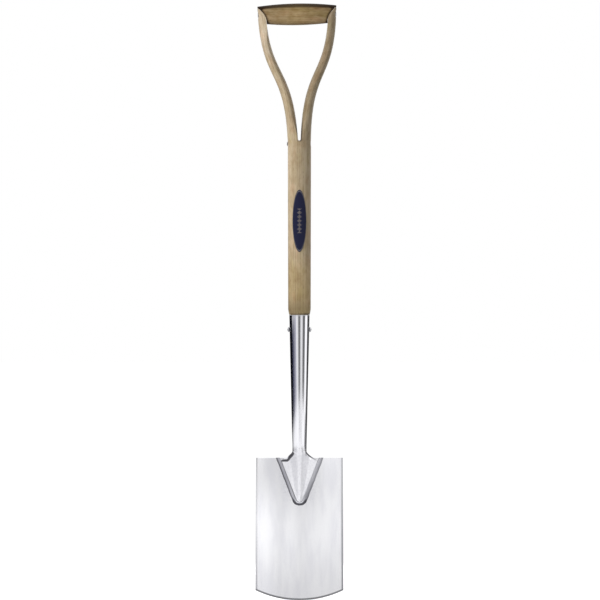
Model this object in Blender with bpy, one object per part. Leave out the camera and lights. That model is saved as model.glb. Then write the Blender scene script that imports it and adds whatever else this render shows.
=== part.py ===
# Border spade with a split wishbone handle. Metres, +Z up the shaft, the blade's hollow face towards -Y.
# The handle's axis is the vertical line x = 0, y = 0 until the whole spade is moved onto its origin.
import math

import bmesh
import bpy
import numpy as np

# Blade
BLADE_LENGTH = 0.230  # along the sheet, from the foot edge to the middle of the cutting edge
BLADE_WIDTH = 0.140  # at the cutting edge
SIDE_DRAW = 0.0015  # how much narrower the blade is at the foot edge
BLADE_THICKNESS = 0.0022
BLADE_DISH = 0.006  # how far the side edges stand in front of the blade's middle
BLADE_LIFT = math.radians(10)
CUTTING_EDGE_RADIUS = 0.160
BLADE_SET_BACK = 0.002  # the blade's front face behind the handle's axis, at the foot edge

# Socket and tail
SOCKET_WALL = 0.0018
SOCKET_MOUTH_RADIUS = 0.0161
NECK_RADIUS = 0.0113
NECK_ABOVE_FOOT_EDGE = 0.010
SOCKET_LENGTH = 0.2175  # from the neck to the mouth
SOCKET_BORE_DEPTH = 0.196
CRANK_LENGTH = 0.0285  # over which the tube's back comes forward to the blade
CRANK_END_ABOVE_FOOT_EDGE = 0.0010
SHOULDER_BELOW_FOOT_EDGE = 0.0045
SHOULDER_FLARE_POWER = 1.7
TAIL_HALF_WIDTH = 0.0365  # of the V and its weld, at the foot edge
TAIL_SIDE_ANGLE = math.radians(21.06)  # between each side of the V and the handle's axis
TAIL_TIP_RADIUS = 0.0107
TAIL_EDGE_THICKNESS = 0.0032
TAIL_TIP_RISE = 0.0005
RIDGE_TOP_HALF_WIDTH = 0.017
RIDGE_TIP_HALF_WIDTH = 0.005
WELD_WIDTH = 0.0052
WELD_TOE_THICKNESS = 0.0003
WELD_CROWN = 0.0003
LAST_TIP_ANGLE = math.radians(75)  # where the rings round the tail's tip stop

# Shaft
STEM_LENGTH = 0.278  # from the socket's mouth to the root of the split
STEM_LOW_RADIUS = 0.01795
STEM_HIGH_RADIUS = 0.0186
MOUTH_TAPER_LENGTH = 0.0115
FOOT_CHAMFER = 0.0015
SLOT_HALF_WIDTH = 0.00205

# Fork
FORK_HEIGHT = 0.2125  # from the root of the split to the tips of the arms
ARM_TOP_HALF_SPREAD = 0.0566  # from the axis to the middle of an arm at its tip
ARM_TOP_THICKNESS = 0.0127
ARM_LOW_PULL = 0.1233  # lengths of the centre curve's two handles
ARM_HIGH_PULL = 0.1180
ARM_LOW_SLOPE = 0.037  # sideways travel for each metre up, at each end of the curve
ARM_HIGH_SLOPE = 0.031
ARM_DEPTH_RUN = 0.150  # height over which an arm narrows from front to back
ARM_ROUNDING_RUN = 0.045  # height over which an arm's inner side turns from flat to round
ARM_SECTION_POWER = 2.4  # 2 is an ellipse, and more is squarer
SCARF_LENGTH = 0.020  # over which an arm tapers away to its tip
ARM_TIP_FLAT = 0.0008  # taken off the scarf's sharp end

# Grip
GRIP_MIDDLE_RADIUS = 0.0174
GRIP_END_RADIUS = 0.0133
GRIP_BELOW_TIPS = 0.011  # from the arms' tips down to the grip's axis
HEAD_LEAN = math.radians(1.05)  # the bent head sits a little askew, towards -X
HEAD_BEND_LENGTH = 0.020  # just below the split, over which the lean sets in

# Fasteners
GRIP_ROD_RADIUS = 0.0030
GRIP_ROD_HEAD_RADIUS = 0.0046
GRIP_ROD_HEAD_HEIGHT = 0.0009
GRIP_BURR_RADIUS = 0.0060
GRIP_BURR_THICKNESS = 0.0013
GRIP_BURR_INSET = 0.0030  # from an arm's outer side to the seat of its washer
SOCKET_RIVET_BELOW_MOUTH = 0.0232
SOCKET_RIVET_RADIUS = 0.0025
SOCKET_RIVET_HEAD_RADIUS = 0.0039
SOCKET_RIVET_HEAD_HEIGHT = 0.0032
FORK_RIVET_BELOW_SPLIT = 0.0048
FORK_RIVET_RADIUS = 0.0020
FORK_RIVET_HEAD_RADIUS = 0.0034
FORK_RIVET_HEAD_HEIGHT = 0.0013
FORK_RIVET_TAIL_HEIGHT = 0.00065  # of the closed end over its washer
FORK_BURR_RADIUS = 0.0044
FORK_BURR_THICKNESS = 0.0010
FORK_BURR_INSET = 0.0026
HEAD_RIM_SHARE = 0.25  # part of a round head's height that is its straight rim

# Label
LABEL_ABOVE_MOUTH = 0.1500  # from the socket's mouth to the label's middle
LABEL_LENGTH = 0.0990
LABEL_CHORD = 0.0214
LABEL_THICKNESS = 0.0003

# Clearances
GAP = 0.0003  # between pieces that rest on or beside each other
FOOT_FIT = 0.0004  # radial, between the shaft's foot and the socket's bore
RIVET_FIT = 0.0003

# Fineness
MERGE_DISTANCE = 0.00001
SLOPE_STEP = 0.0002  # height over which a side's slope is measured
SHARP_ANGLE = math.radians(35)
AROUND = 32  # points round the shaft and the socket
TURNED_AROUND = 20  # points round rivets, rods and washers
BLADE_COLUMNS = 29
BLADE_ROWS = 12
LABEL_AROUND = 28
LABEL_RINGS = 3
HEAD_RINGS = 4

# What follows from the sizes
FOOT_EDGE_WIDTH = BLADE_WIDTH - SIDE_DRAW
FOOT_Z = BLADE_LENGTH * math.cos(BLADE_LIFT)
NECK_Z = FOOT_Z + NECK_ABOVE_FOOT_EDGE
MOUTH_Z = NECK_Z + SOCKET_LENGTH
BORE_END_Z = MOUTH_Z - SOCKET_BORE_DEPTH
CRANK_LOW_Z = FOOT_Z + CRANK_END_ABOVE_FOOT_EDGE
CRANK_HIGH_Z = CRANK_LOW_Z + CRANK_LENGTH
SHOULDER_Z = FOOT_Z - SHOULDER_BELOW_FOOT_EDGE
SPLIT_Z = MOUTH_Z + STEM_LENGTH
TIP_Z = SPLIT_Z + FORK_HEIGHT
GRIP_Z = TIP_Z - GRIP_BELOW_TIPS
LEAN_Z = SPLIT_Z - HEAD_BEND_LENGTH
SOCKET_RIVET_Z = MOUTH_Z - SOCKET_RIVET_BELOW_MOUTH
FORK_RIVET_Z = SPLIT_Z - FORK_RIVET_BELOW_SPLIT
LABEL_Z = MOUTH_Z + LABEL_ABOVE_MOUTH

# The V of the tail: straight sides that would meet at an apex, and a round tip inside it
WELD_APEX_Z = FOOT_Z - TAIL_HALF_WIDTH / math.tan(TAIL_SIDE_ANGLE)
TIP_CENTRE_Z = WELD_APEX_Z + TAIL_TIP_RADIUS / math.sin(TAIL_SIDE_ANGLE)
TAIL_INNER_RADIUS = TAIL_TIP_RADIUS - WELD_WIDTH
ARM_OUTER_X = ARM_TOP_HALF_SPREAD + ARM_TOP_THICKNESS / 2

# Holes, and the planes that the washers are seated on
GRIP_ROD_HOLE_RADIUS = GRIP_ROD_RADIUS + RIVET_FIT
SOCKET_RIVET_HOLE_RADIUS = SOCKET_RIVET_RADIUS + RIVET_FIT
FORK_RIVET_HOLE_RADIUS = FORK_RIVET_RADIUS + RIVET_FIT
GRIP_BURR_SEAT_X = ARM_OUTER_X - GRIP_BURR_INSET
FORK_BURR_SEAT_X = STEM_HIGH_RADIUS - FORK_BURR_INSET
HOLE_REACH = 2 * ARM_OUTER_X  # past the outside of everything that is drilled


def smooth(t):
    """0 below 0, 1 above 1, and the smooth cubic between."""
    t = np.clip(t, 0.0, 1.0)
    return t * t * (3 - 2 * t)


def mix(a, b, t):
    return a + (b - a) * t


def leaned(points):
    """Every point above the bend is moved towards -X and turned by the head's lean, as steamed wood sets."""
    points = np.array(points, dtype=float)
    rise = points[:, 2] - LEAN_Z
    slope = math.tan(HEAD_LEAN) * smooth(rise / HEAD_BEND_LENGTH)
    shift = slope * np.maximum(rise - HEAD_BEND_LENGTH / 2, 0.0)
    points[:, 2] += points[:, 0] * slope
    points[:, 0] -= shift
    return points


# Materials


def material(name, colour, roughness, metallic=0.0):
    made = bpy.data.materials.new(name)
    made.use_nodes = True
    shader = made.node_tree.nodes["Principled BSDF"]
    shader.inputs["Base Color"].default_value = (*colour, 1.0)
    shader.inputs["Roughness"].default_value = roughness
    shader.inputs["Metallic"].default_value = metallic
    return made


# Mesh helpers


def join_rings(rings, start=0):
    """Faces between equal closed rings of points that are numbered one ring after the other."""
    faces = []
    count = len(rings[0])
    for row in range(len(rings) - 1):
        low = start + row * count
        for i in range(count):
            j = (i + 1) % count
            faces.append((low + i, low + j, low + count + j, low + count + i))
    return faces


def loft(rings):
    """A closed body skinned over rings of points, with a flat face on its first and last ring."""
    count = len(rings[0])
    last = (len(rings) - 1) * count
    faces = join_rings(rings)
    faces.append(tuple(range(count))[::-1])
    faces.append(tuple(range(last, last + count)))
    return np.concatenate(rings), faces


def add_object(name, points, faces, finish, parent, merge=0.0):
    """A named object with its faces outwards, shaded smooth. Points nearer than the merge distance become one."""
    mesh = bpy.data.meshes.new(name)
    mesh.from_pydata([tuple(map(float, p)) for p in points], [], faces)
    work = bmesh.new()
    work.from_mesh(mesh)
    if merge:
        bmesh.ops.remove_doubles(work, verts=work.verts, dist=merge)
    bmesh.ops.recalc_face_normals(work, faces=work.faces)
    work.to_mesh(mesh)
    work.free()
    if finish:
        mesh.materials.append(finish)
    mesh.shade_smooth()
    mesh.set_sharp_from_angle(angle=SHARP_ANGLE)
    made = bpy.data.objects.new(name, mesh)
    bpy.context.scene.collection.objects.link(made)
    made.parent = parent
    return made


def turned(profile, height):
    """Rings of a body turned about the X direction at this height. Its profile is a list of (x, radius)."""
    angles = 2 * math.pi * (np.arange(TURNED_AROUND) + 0.5) / TURNED_AROUND
    rings = []
    for x, radius in profile:
        across = radius * np.cos(angles)
        up = height + radius * np.sin(angles)
        rings.append(np.column_stack([np.full(TURNED_AROUND, x), across, up]))
    return rings


def rivet_end(side, base_x, shank_radius, head_radius, head_height):
    """Profile points from a rivet's shank out to its head's rim at base_x, and over the round head."""
    rim = HEAD_RIM_SHARE * head_height
    points = [(side * base_x, shank_radius), (side * base_x, head_radius)]
    for i in range(HEAD_RINGS):
        turn = math.pi / 2 * i / HEAD_RINGS
        rise = rim + (head_height - rim) * math.sin(turn)
        points.append((side * (base_x + rise), head_radius * math.cos(turn)))
    return points


def cut(target, name, rings, parent):
    """Takes the body skinned over these rings out of the target, with a cutter that isn't rendered."""
    points, faces = loft(rings)
    cutter = add_object(name, leaned(points), faces, None, parent)
    cutter.hide_render = True
    cutter.display_type = "WIRE"
    modifier = target.modifiers.new(name, "BOOLEAN")
    modifier.operation = "DIFFERENCE"
    modifier.solver = "EXACT"
    modifier.object = cutter


def drill(target, name, radius, height, parent):
    """A straight hole from side to side at this height."""
    cut(target, name, turned([(-HOLE_REACH, radius), (HOLE_REACH, radius)], height), parent)


def drill_stepped(target, name, side, radius, seat_x, recess_radius, start_x, height, parent):
    """A hole from start_x out past one side, wider from the washer's seat outwards."""
    profile = [(start_x, radius), (side * seat_x, radius)]
    profile += [(side * seat_x, recess_radius), (side * HOLE_REACH, recess_radius)]
    cut(target, name, turned(profile[::side], height), parent)


# Blade


def blade_front(x, z):
    """Y of the blade's front: a plane that leans forward by the lift, dished by a parabola across its width."""
    lean = (FOOT_Z - z) * math.tan(BLADE_LIFT)
    return BLADE_SET_BACK - lean - BLADE_DISH * (x / (BLADE_WIDTH / 2)) ** 2


def cutting_edge(x):
    """Height of the cutting edge: an arc about a centre on the handle's axis."""
    return CUTTING_EDGE_RADIUS - np.sqrt(CUTTING_EDGE_RADIUS**2 - x**2)


def make_blade(finish, parent):
    """A sheet between two equal grids: its sides narrow evenly to the foot edge, its rows run edge to arc."""
    across = np.linspace(-1, 1, BLADE_COLUMNS)
    down = np.linspace(0, 1, BLADE_ROWS)
    x = np.outer(mix(FOOT_EDGE_WIDTH, BLADE_WIDTH, down) / 2, across)
    foot = np.full(BLADE_COLUMNS, FOOT_Z)
    low = cutting_edge(x[-1])
    z = np.outer(1 - down, foot) + np.outer(down, low)
    front = blade_front(x, z)
    back = front + BLADE_THICKNESS / math.cos(BLADE_LIFT)
    rings = []
    for row in range(BLADE_ROWS):
        face = np.column_stack([x[row], front[row], z[row]])
        rear = np.column_stack([x[row], back[row], z[row]])[::-1]
        rings.append(np.concatenate([face, rear]))
    faces = join_rings(rings)
    count = 2 * BLADE_COLUMNS
    for start in (0, (BLADE_ROWS - 1) * count):
        for i in range(BLADE_COLUMNS - 1):
            faces.append((start + i, start + i + 1, start + count - 2 - i, start + count - 1 - i))
    return add_object("blade", np.concatenate(rings), faces, finish, parent)


# Socket and tail


def socket_radius(z):
    """Outer radius of the tube: a straight taper from the neck to the mouth."""
    return mix(NECK_RADIUS, SOCKET_MOUTH_RADIUS, (z - NECK_Z) / SOCKET_LENGTH)


def tail_half_width(z):
    """Half the width of the V shaped tail inside its weld: straight sides, then the arc of the tip."""
    tangent_z = TIP_CENTRE_Z - TAIL_INNER_RADIUS * math.sin(TAIL_SIDE_ANGLE)
    apex_z = WELD_APEX_Z + WELD_WIDTH / math.sin(TAIL_SIDE_ANGLE)
    straight = (z - apex_z) * math.tan(TAIL_SIDE_ANGLE)
    arc = math.sqrt(max(TAIL_INNER_RADIUS**2 - (z - TIP_CENTRE_Z) ** 2, 0.0))
    return straight if z > tangent_z else arc


def bore_radius(z):
    return socket_radius(z) - SOCKET_WALL


def outline_half_width(z):
    """The socket's own taper down to the neck, the flare of the shoulders, then the V."""
    if z >= NECK_Z:
        return socket_radius(z)
    if z > SHOULDER_Z:
        down = (NECK_Z - z) / (NECK_Z - SHOULDER_Z)
        return mix(NECK_RADIUS, tail_half_width(SHOULDER_Z), down**SHOULDER_FLARE_POWER)
    return tail_half_width(z)


def tail_tip_z():
    return TIP_CENTRE_Z - TAIL_INNER_RADIUS


def ridge_front(z):
    """Y of the tail's front on its middle line: straight on from the tube's front at the neck to the V's tip."""
    tip = blade_front(0.0, tail_tip_z()) - GAP - TAIL_EDGE_THICKNESS - TAIL_TIP_RISE
    down = (NECK_Z - z) / (NECK_Z - tail_tip_z())
    return mix(-NECK_RADIUS, tip, down)


def tail_front(x, z):
    """Y of the tail's front: an even plate on the blade, with a soft ridge that dies away to the tip."""
    plate = blade_front(x, z) - GAP - TAIL_EDGE_THICKNESS
    middle = blade_front(0.0, z) - GAP - TAIL_EDGE_THICKNESS
    down = np.clip((SHOULDER_Z - z) / (SHOULDER_Z - tail_tip_z()), 0.0, 1.0)
    half_width = mix(RIDGE_TOP_HALF_WIDTH, RIDGE_TIP_HALF_WIDTH, down)
    share = np.clip(np.abs(x) / half_width, 0.0, 1.0)
    return plate + (ridge_front(z) - middle) * (1 - share**2) ** 2


def socket_ring(z):
    """One level of the socket. Round above, it turns into the tail's flat back and ridged front lower down."""
    angles = 2 * math.pi * (np.arange(AROUND) + 0.5) / AROUND
    flat = math.cos(angles[0])
    half_width = outline_half_width(z)
    x = half_width * np.cos(angles) / flat
    radius = socket_radius(max(z, NECK_Z)) / flat
    tube = -radius * np.sin(angles)
    front_share = smooth((NECK_Z - z) / (NECK_Z - SHOULDER_Z))
    back_share = smooth((CRANK_HIGH_Z - z) / CRANK_LENGTH)
    front = mix(tube, tail_front(x, z), front_share)
    back = mix(tube, blade_front(x, z) - GAP, back_share)
    y = np.where(np.sin(angles) > 0, front, back)
    return np.column_stack([x, y, np.full(AROUND, z)])


def socket_levels():
    """Heights of the rings: few on the straight tube, closer at the crank and the flare, then down the V."""
    tube = np.linspace(MOUTH_Z, CRANK_HIGH_Z, 5)[:-1]
    crank = np.linspace(CRANK_HIGH_Z, NECK_Z, 6)[:-1]
    flare = np.linspace(NECK_Z, SHOULDER_Z, 9)
    turn = np.linspace(TAIL_SIDE_ANGLE, LAST_TIP_ANGLE, 4)
    arc = TIP_CENTRE_Z - TAIL_INNER_RADIUS * np.sin(turn)
    sides = np.linspace(SHOULDER_Z, arc[0], 8)[1:-1]
    return np.concatenate([tube, crank, flare, sides, arc])


def make_socket(finish, parent):
    """The outer skin from mouth to tip, and the bore's own rings from its blind end up to the mouth."""
    outer = [socket_ring(z) for z in socket_levels()]
    angles = 2 * math.pi * (np.arange(AROUND) + 0.5) / AROUND
    bore = []
    for z in (BORE_END_Z, MOUTH_Z):
        x = bore_radius(z) * np.cos(angles)
        y = -bore_radius(z) * np.sin(angles)
        bore.append(np.column_stack([x, y, np.full(AROUND, z)]))
    points, faces = loft(bore + outer)
    made = add_object("socket", points, faces, finish, parent)
    drill(made, "cut_socket_rivet", SOCKET_RIVET_HOLE_RADIUS, SOCKET_RIVET_Z, parent)
    return made


def make_tail_weld(finish, parent):
    """A bead along the V: a low wedge between the tail's edge and the blade, down one side and up the other."""
    arc_angles = np.linspace(TAIL_SIDE_ANGLE, LAST_TIP_ANGLE, 4)
    radii = (TAIL_INNER_RADIUS + GAP, TAIL_TIP_RADIUS)
    stations = []
    for share in np.linspace(0, 1, 8)[:-1]:
        ends = []
        for radius in radii:
            low_z = TIP_CENTRE_Z - radius * math.sin(TAIL_SIDE_ANGLE)
            low_x = radius * math.cos(TAIL_SIDE_ANGLE)
            top_x = low_x + (FOOT_Z - low_z) * math.tan(TAIL_SIDE_ANGLE)
            ends.append((mix(top_x, low_x, share), mix(FOOT_Z, low_z, share)))
        stations.append(ends)
    for turn in arc_angles:
        stations.append([(r * math.cos(turn), TIP_CENTRE_Z - r * math.sin(turn)) for r in radii])
    tip = [[(0.0, TIP_CENTRE_Z - r) for r in radii]]
    left = [[(-x, z) for x, z in pair] for pair in stations]
    rings = []
    for (xi, zi), (xo, zo) in left + tip + stations[::-1]:
        section = []
        for share, height in ((0, 0), (0, TAIL_EDGE_THICKNESS), (0.5, None), (1, WELD_TOE_THICKNESS), (1, 0)):
            x, z = mix(xi, xo, share), mix(zi, zo, share)
            if height is None:
                height = mix(TAIL_EDGE_THICKNESS, WELD_TOE_THICKNESS, share) + WELD_CROWN
            section.append((x, blade_front(x, z) - GAP - height, z))
        rings.append(np.array(section))
    points, faces = loft(rings)
    return add_object("tail_weld", points, faces, finish, parent)


# Shaft


def stem_radius(z):
    """Radius of the round stem: flush with the socket at its mouth, then a slight swell to the split."""
    swell = mix(STEM_LOW_RADIUS, STEM_HIGH_RADIUS, (z - MOUTH_Z) / STEM_LENGTH)
    start = (z - MOUTH_Z) / MOUTH_TAPER_LENGTH
    return mix(SOCKET_MOUTH_RADIUS, swell, math.sin(math.pi / 2 * min(max(start, 0.0), 1.0)))


def arm_centre():
    """Points of the arm's centre line: one cubic curve from the split to the tip."""
    t = np.linspace(0, 1, 200)[:, None]
    root = np.array([(STEM_HIGH_RADIUS + SLOT_HALF_WIDTH) / 2, SPLIT_Z])
    tip = np.array([ARM_TOP_HALF_SPREAD, TIP_Z])
    low = root + ARM_LOW_PULL * np.array([ARM_LOW_SLOPE, 1.0])
    high = tip - ARM_HIGH_PULL * np.array([ARM_HIGH_SLOPE, 1.0])
    return (1 - t) ** 3 * root + 3 * (1 - t) ** 2 * t * low + 3 * (1 - t) * t**2 * high + t**3 * tip


ARM_CENTRE = arm_centre()


def arm_sides(z):
    """X of an arm's inner and outer sides. The arm thins steadily, and its inner side scarfs out to the tip."""
    x = np.interp(z, ARM_CENTRE[:, 1], ARM_CENTRE[:, 0])
    slope = np.interp(z, ARM_CENTRE[:, 1], np.gradient(ARM_CENTRE[:, 0], ARM_CENTRE[:, 1]))
    up = (z - SPLIT_Z) / FORK_HEIGHT
    thickness = mix(STEM_HIGH_RADIUS - SLOT_HALF_WIDTH, ARM_TOP_THICKNESS, up) * np.sqrt(1 + slope**2)
    scarf = np.clip((z - TIP_Z + SCARF_LENGTH) / SCARF_LENGTH, 0.0, 1.0) ** 2
    return x - thickness / 2 + thickness * scarf, x + thickness / 2


def arm_half_depth(z):
    """Half an arm's size from front to back: the stem's at the split, then the round end's of the grip."""
    if z > GRIP_Z:
        return math.sqrt(max(GRIP_END_RADIUS**2 - (z - GRIP_Z) ** 2, 0.0))
    return mix(STEM_HIGH_RADIUS, GRIP_END_RADIUS, smooth((z - SPLIT_Z) / ARM_DEPTH_RUN))


def arm_ring(z):
    """One level of the right arm: half of the stem at the split, an oval higher up, flat again at the grip."""
    inner, outer = arm_sides(z)
    root_rise = z - SPLIT_Z
    if root_rise < SLOT_HALF_WIDTH:
        inner = math.sqrt(max(SLOT_HALF_WIDTH**2 - (SLOT_HALF_WIDTH - root_rise) ** 2, 0.0))
        outer = STEM_HIGH_RADIUS
    flat_from = GRIP_Z - GRIP_END_RADIUS - GAP
    rounding = smooth((root_rise - SLOT_HALF_WIDTH) / ARM_ROUNDING_RUN)
    rounding *= smooth((flat_from - z) / ARM_ROUNDING_RUN)
    steps = AROUND // 2
    turn = math.pi * np.arange(steps + 1) / steps
    half_depth = arm_half_depth(z)
    y = -half_depth * np.cos(turn)
    bulge = np.sin(turn) ** (2 / mix(2.0, ARM_SECTION_POWER, rounding))
    width = outer - inner
    outer_x = outer - width * (1 - rounding / 2) * (1 - bulge)
    inner_x = inner + width * rounding / 2 * (1 - bulge)
    outer_side = np.column_stack([outer_x, y])
    inner_side = np.column_stack([inner_x, y])[1:-1][::-1]
    ring = np.concatenate([outer_side, inner_side])
    return np.column_stack([ring, np.full(len(ring), z)])


def arm_levels():
    """Heights of an arm's rings: close round the root of the split, even up the bend, close again at the scarf."""
    root = SPLIT_Z + SLOT_HALF_WIDTH * (1 - np.cos(np.radians([0, 30, 60, 90])))
    bend = np.linspace(SPLIT_Z + SLOT_HALF_WIDTH, GRIP_Z - GRIP_END_RADIUS - GAP, 16)[1:]
    scarf = np.linspace(GRIP_Z - GRIP_END_RADIUS - GAP, TIP_Z - ARM_TIP_FLAT, 8)[1:]
    return np.concatenate([root, bend, scarf])


def make_shaft(finish, parent):
    """Foot, stem and both arms as one skin. The arms' lowest rings are the two halves of the stem's last one."""
    angles = 2 * math.pi * np.arange(AROUND) / AROUND - math.pi / 2
    foot_z = BORE_END_Z + GAP
    foot = [(foot_z, bore_radius(foot_z) - FOOT_FIT - FOOT_CHAMFER)]
    for z in (foot_z + FOOT_CHAMFER, MOUTH_Z + GAP):
        foot.append((z, bore_radius(z) - FOOT_FIT))
    mouth = [(z, stem_radius(z)) for z in MOUTH_Z + GAP + MOUTH_TAPER_LENGTH * np.linspace(0, 1, 5)]
    stem = [(z, stem_radius(z)) for z in np.linspace(MOUTH_Z + 2 * MOUTH_TAPER_LENGTH, SPLIT_Z, 6)]
    rings = []
    for z, radius in foot + mouth + stem:
        x, y = radius * np.cos(angles), radius * np.sin(angles)
        rings.append(np.column_stack([x, y, np.full(AROUND, z)]))
    points = list(rings)
    faces = join_rings(rings)
    faces.append(tuple(range(AROUND))[::-1])
    start = len(rings) * AROUND
    for side in (1, -1):
        arm = [ring * np.array([side, 1, 1]) for ring in map(arm_ring, arm_levels())]
        faces += [face[::side] for face in join_rings(arm, start)]
        end = start + len(arm) * AROUND
        faces.append(tuple(range(end - AROUND, end))[::side])
        points += arm
        start = end
    made = add_object("shaft", leaned(np.concatenate(points)), faces, finish, parent, MERGE_DISTANCE)
    drill(made, "cut_foot_rivet", SOCKET_RIVET_HOLE_RADIUS, SOCKET_RIVET_Z, parent)
    recess = GRIP_BURR_RADIUS + RIVET_FIT
    for side, name in ((-1, "cut_rod_left"), (1, "cut_rod_right")):
        start = side * ARM_OUTER_X / 2
        drill_stepped(made, name, side, GRIP_ROD_HOLE_RADIUS, GRIP_BURR_SEAT_X, recess, start, GRIP_Z, parent)
    recess = FORK_BURR_RADIUS + RIVET_FIT
    name, start = "cut_fork_rivet", -HOLE_REACH
    drill_stepped(made, name, 1, FORK_RIVET_HOLE_RADIUS, FORK_BURR_SEAT_X, recess, start, FORK_RIVET_Z, parent)
    return made


# Grip


def grip_radius(x):
    """Radius of the barrel: largest in the middle, falling by a parabola to its ends."""
    return GRIP_MIDDLE_RADIUS - (GRIP_MIDDLE_RADIUS - GRIP_END_RADIUS) * (x / ARM_OUTER_X) ** 2


def grip_end(z):
    """X of the grip's end at this height: a gap inside the arm's scarfed side, and full length above its tip."""
    inner, _ = arm_sides(z)
    below, _ = arm_sides(z - SLOPE_STEP)
    slope = (inner - below) / SLOPE_STEP
    beside_arm = np.minimum(inner - GAP * np.sqrt(1 + slope**2), ARM_OUTER_X)
    return np.where(z > TIP_Z, ARM_OUTER_X, beside_arm)


def make_grip(finish, parent):
    """The barrel's rings run end to end. Points at equal heights front and back are joined across each end."""
    angles = 2 * math.pi * (np.arange(AROUND) + 0.5) / AROUND + math.pi / 2
    end = grip_end(GRIP_Z + GRIP_END_RADIUS * np.sin(angles))
    rings = []
    for share in np.linspace(-1, 1, 13):
        x = share * end
        radius = grip_radius(x)
        rings.append(np.column_stack([x, radius * np.cos(angles), GRIP_Z + radius * np.sin(angles)]))
    faces = join_rings(rings)
    for start, turn in ((0, -1), ((len(rings) - 1) * AROUND, 1)):
        for i in range(AROUND // 2 - 1):
            strip = (start + i, start + i + 1, start + AROUND - 2 - i, start + AROUND - 1 - i)
            faces.append(strip[::turn])
    made = add_object("cross_grip", leaned(np.concatenate(rings)), faces, finish, parent)
    drill(made, "cut_grip_rod", GRIP_ROD_HOLE_RADIUS, GRIP_Z, parent)
    return made


# Fasteners


def make_washer(name, seat_x, side, outer, inner, thickness, height, finish, parent):
    """A flat ring on the plane x = seat_x, standing off it by the gap, thickness towards side."""
    near, far = seat_x + side * GAP, seat_x + side * (GAP + thickness)
    rings = turned([(near, inner), (near, outer), (far, outer), (far, inner), (near, inner)], height)
    faces = join_rings(rings[:-1])
    count = len(rings[0])
    last = 3 * count
    faces += [(last + i, last + (i + 1) % count, (i + 1) % count, i) for i in range(count)]
    return add_object(name, leaned(np.concatenate(rings[:-1])), faces, finish, parent)


def make_rivet(name, left, right, height, finish, parent):
    """A shank with a round head at each end. An end is (distance out to its head, shank, head, head's height)."""
    profile = rivet_end(-1, *left)[::-1] + rivet_end(1, *right)
    points, faces = loft(turned(profile, height))
    return add_object(name, leaned(points), faces, finish, parent)


def make_fasteners(finish, parent):
    for side, name in ((-1, "grip_burr_left"), (1, "grip_burr_right")):
        sizes = (GRIP_BURR_RADIUS, GRIP_ROD_HOLE_RADIUS, GRIP_BURR_THICKNESS)
        make_washer(name, side * GRIP_BURR_SEAT_X, side, *sizes, GRIP_Z, finish, parent)
    head_x = GRIP_BURR_SEAT_X + 2 * GAP + GRIP_BURR_THICKNESS
    end = (head_x, GRIP_ROD_RADIUS, GRIP_ROD_HEAD_RADIUS, GRIP_ROD_HEAD_HEIGHT)
    make_rivet("grip_rod", end, end, GRIP_Z, finish, parent)

    head_x = socket_radius(SOCKET_RIVET_Z) + GAP
    end = (head_x, SOCKET_RIVET_RADIUS, SOCKET_RIVET_HEAD_RADIUS, SOCKET_RIVET_HEAD_HEIGHT)
    make_rivet("socket_rivet", end, end, SOCKET_RIVET_Z, finish, parent)

    sizes = (FORK_BURR_RADIUS, FORK_RIVET_HOLE_RADIUS, FORK_BURR_THICKNESS)
    make_washer("fork_rivet_burr", FORK_BURR_SEAT_X, 1, *sizes, FORK_RIVET_Z, finish, parent)
    head_x = STEM_HIGH_RADIUS + GAP
    left = (head_x, FORK_RIVET_RADIUS, FORK_RIVET_HEAD_RADIUS, FORK_RIVET_HEAD_HEIGHT)
    head_x = FORK_BURR_SEAT_X + 2 * GAP + FORK_BURR_THICKNESS
    right = (head_x, FORK_RIVET_RADIUS, FORK_RIVET_HEAD_RADIUS, FORK_RIVET_TAIL_HEIGHT)
    make_rivet("fork_rivet", left, right, FORK_RIVET_Z, finish, parent)


# Label


def make_label(finish, parent):
    """An oval bent round the stem's front, as rings of one centre on its back sheet and its face."""
    turn = 2 * math.pi * np.arange(LABEL_AROUND) / LABEL_AROUND
    sheets = []
    for offset in (GAP, GAP + LABEL_THICKNESS):
        sheet = []
        for share in np.linspace(1, 0, LABEL_RINGS + 1)[:-1]:
            x = share * LABEL_CHORD / 2 * np.cos(turn)
            z = LABEL_Z + share * LABEL_LENGTH / 2 * np.sin(turn)
            radius = np.array([stem_radius(level) for level in z])
            depth = -np.sqrt(radius**2 - x**2) * (1 + offset / radius)
            sheet.append(np.column_stack([x * (1 + offset / radius), depth, z]))
        sheets.append(sheet)
    points, faces = loft(sheets[0][::-1] + sheets[1])
    return add_object("oval_label", points, faces, finish, parent)


# The spade


def main():
    for old in list(bpy.data.objects):
        bpy.data.objects.remove(old, do_unlink=True)
    polished = material("polished_stainless", (0.80, 0.80, 0.82), 0.12, 1.0)
    ash = material("waxed_ash", (0.42, 0.31, 0.19), 0.45)
    oiled = material("oiled_grip", (0.29, 0.21, 0.11), 0.50)
    steel = material("bright_steel", (0.62, 0.62, 0.64), 0.30, 1.0)
    foil = material("navy_foil", (0.022, 0.026, 0.065), 0.35)

    corner = BLADE_WIDTH / 2
    front_reach = -blade_front(corner, cutting_edge(corner))
    spade = bpy.data.objects.new("spade_axis", None)
    bpy.context.scene.collection.objects.link(spade)
    spade.location = (0.0, (front_reach - STEM_HIGH_RADIUS) / 2, 0.0)

    make_blade(polished, spade)
    make_socket(polished, spade)
    make_tail_weld(polished, spade)
    make_shaft(ash, spade)
    make_grip(oiled, spade)
    make_fasteners(steel, spade)
    make_label(foil, spade)


main()
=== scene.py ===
import math

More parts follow.
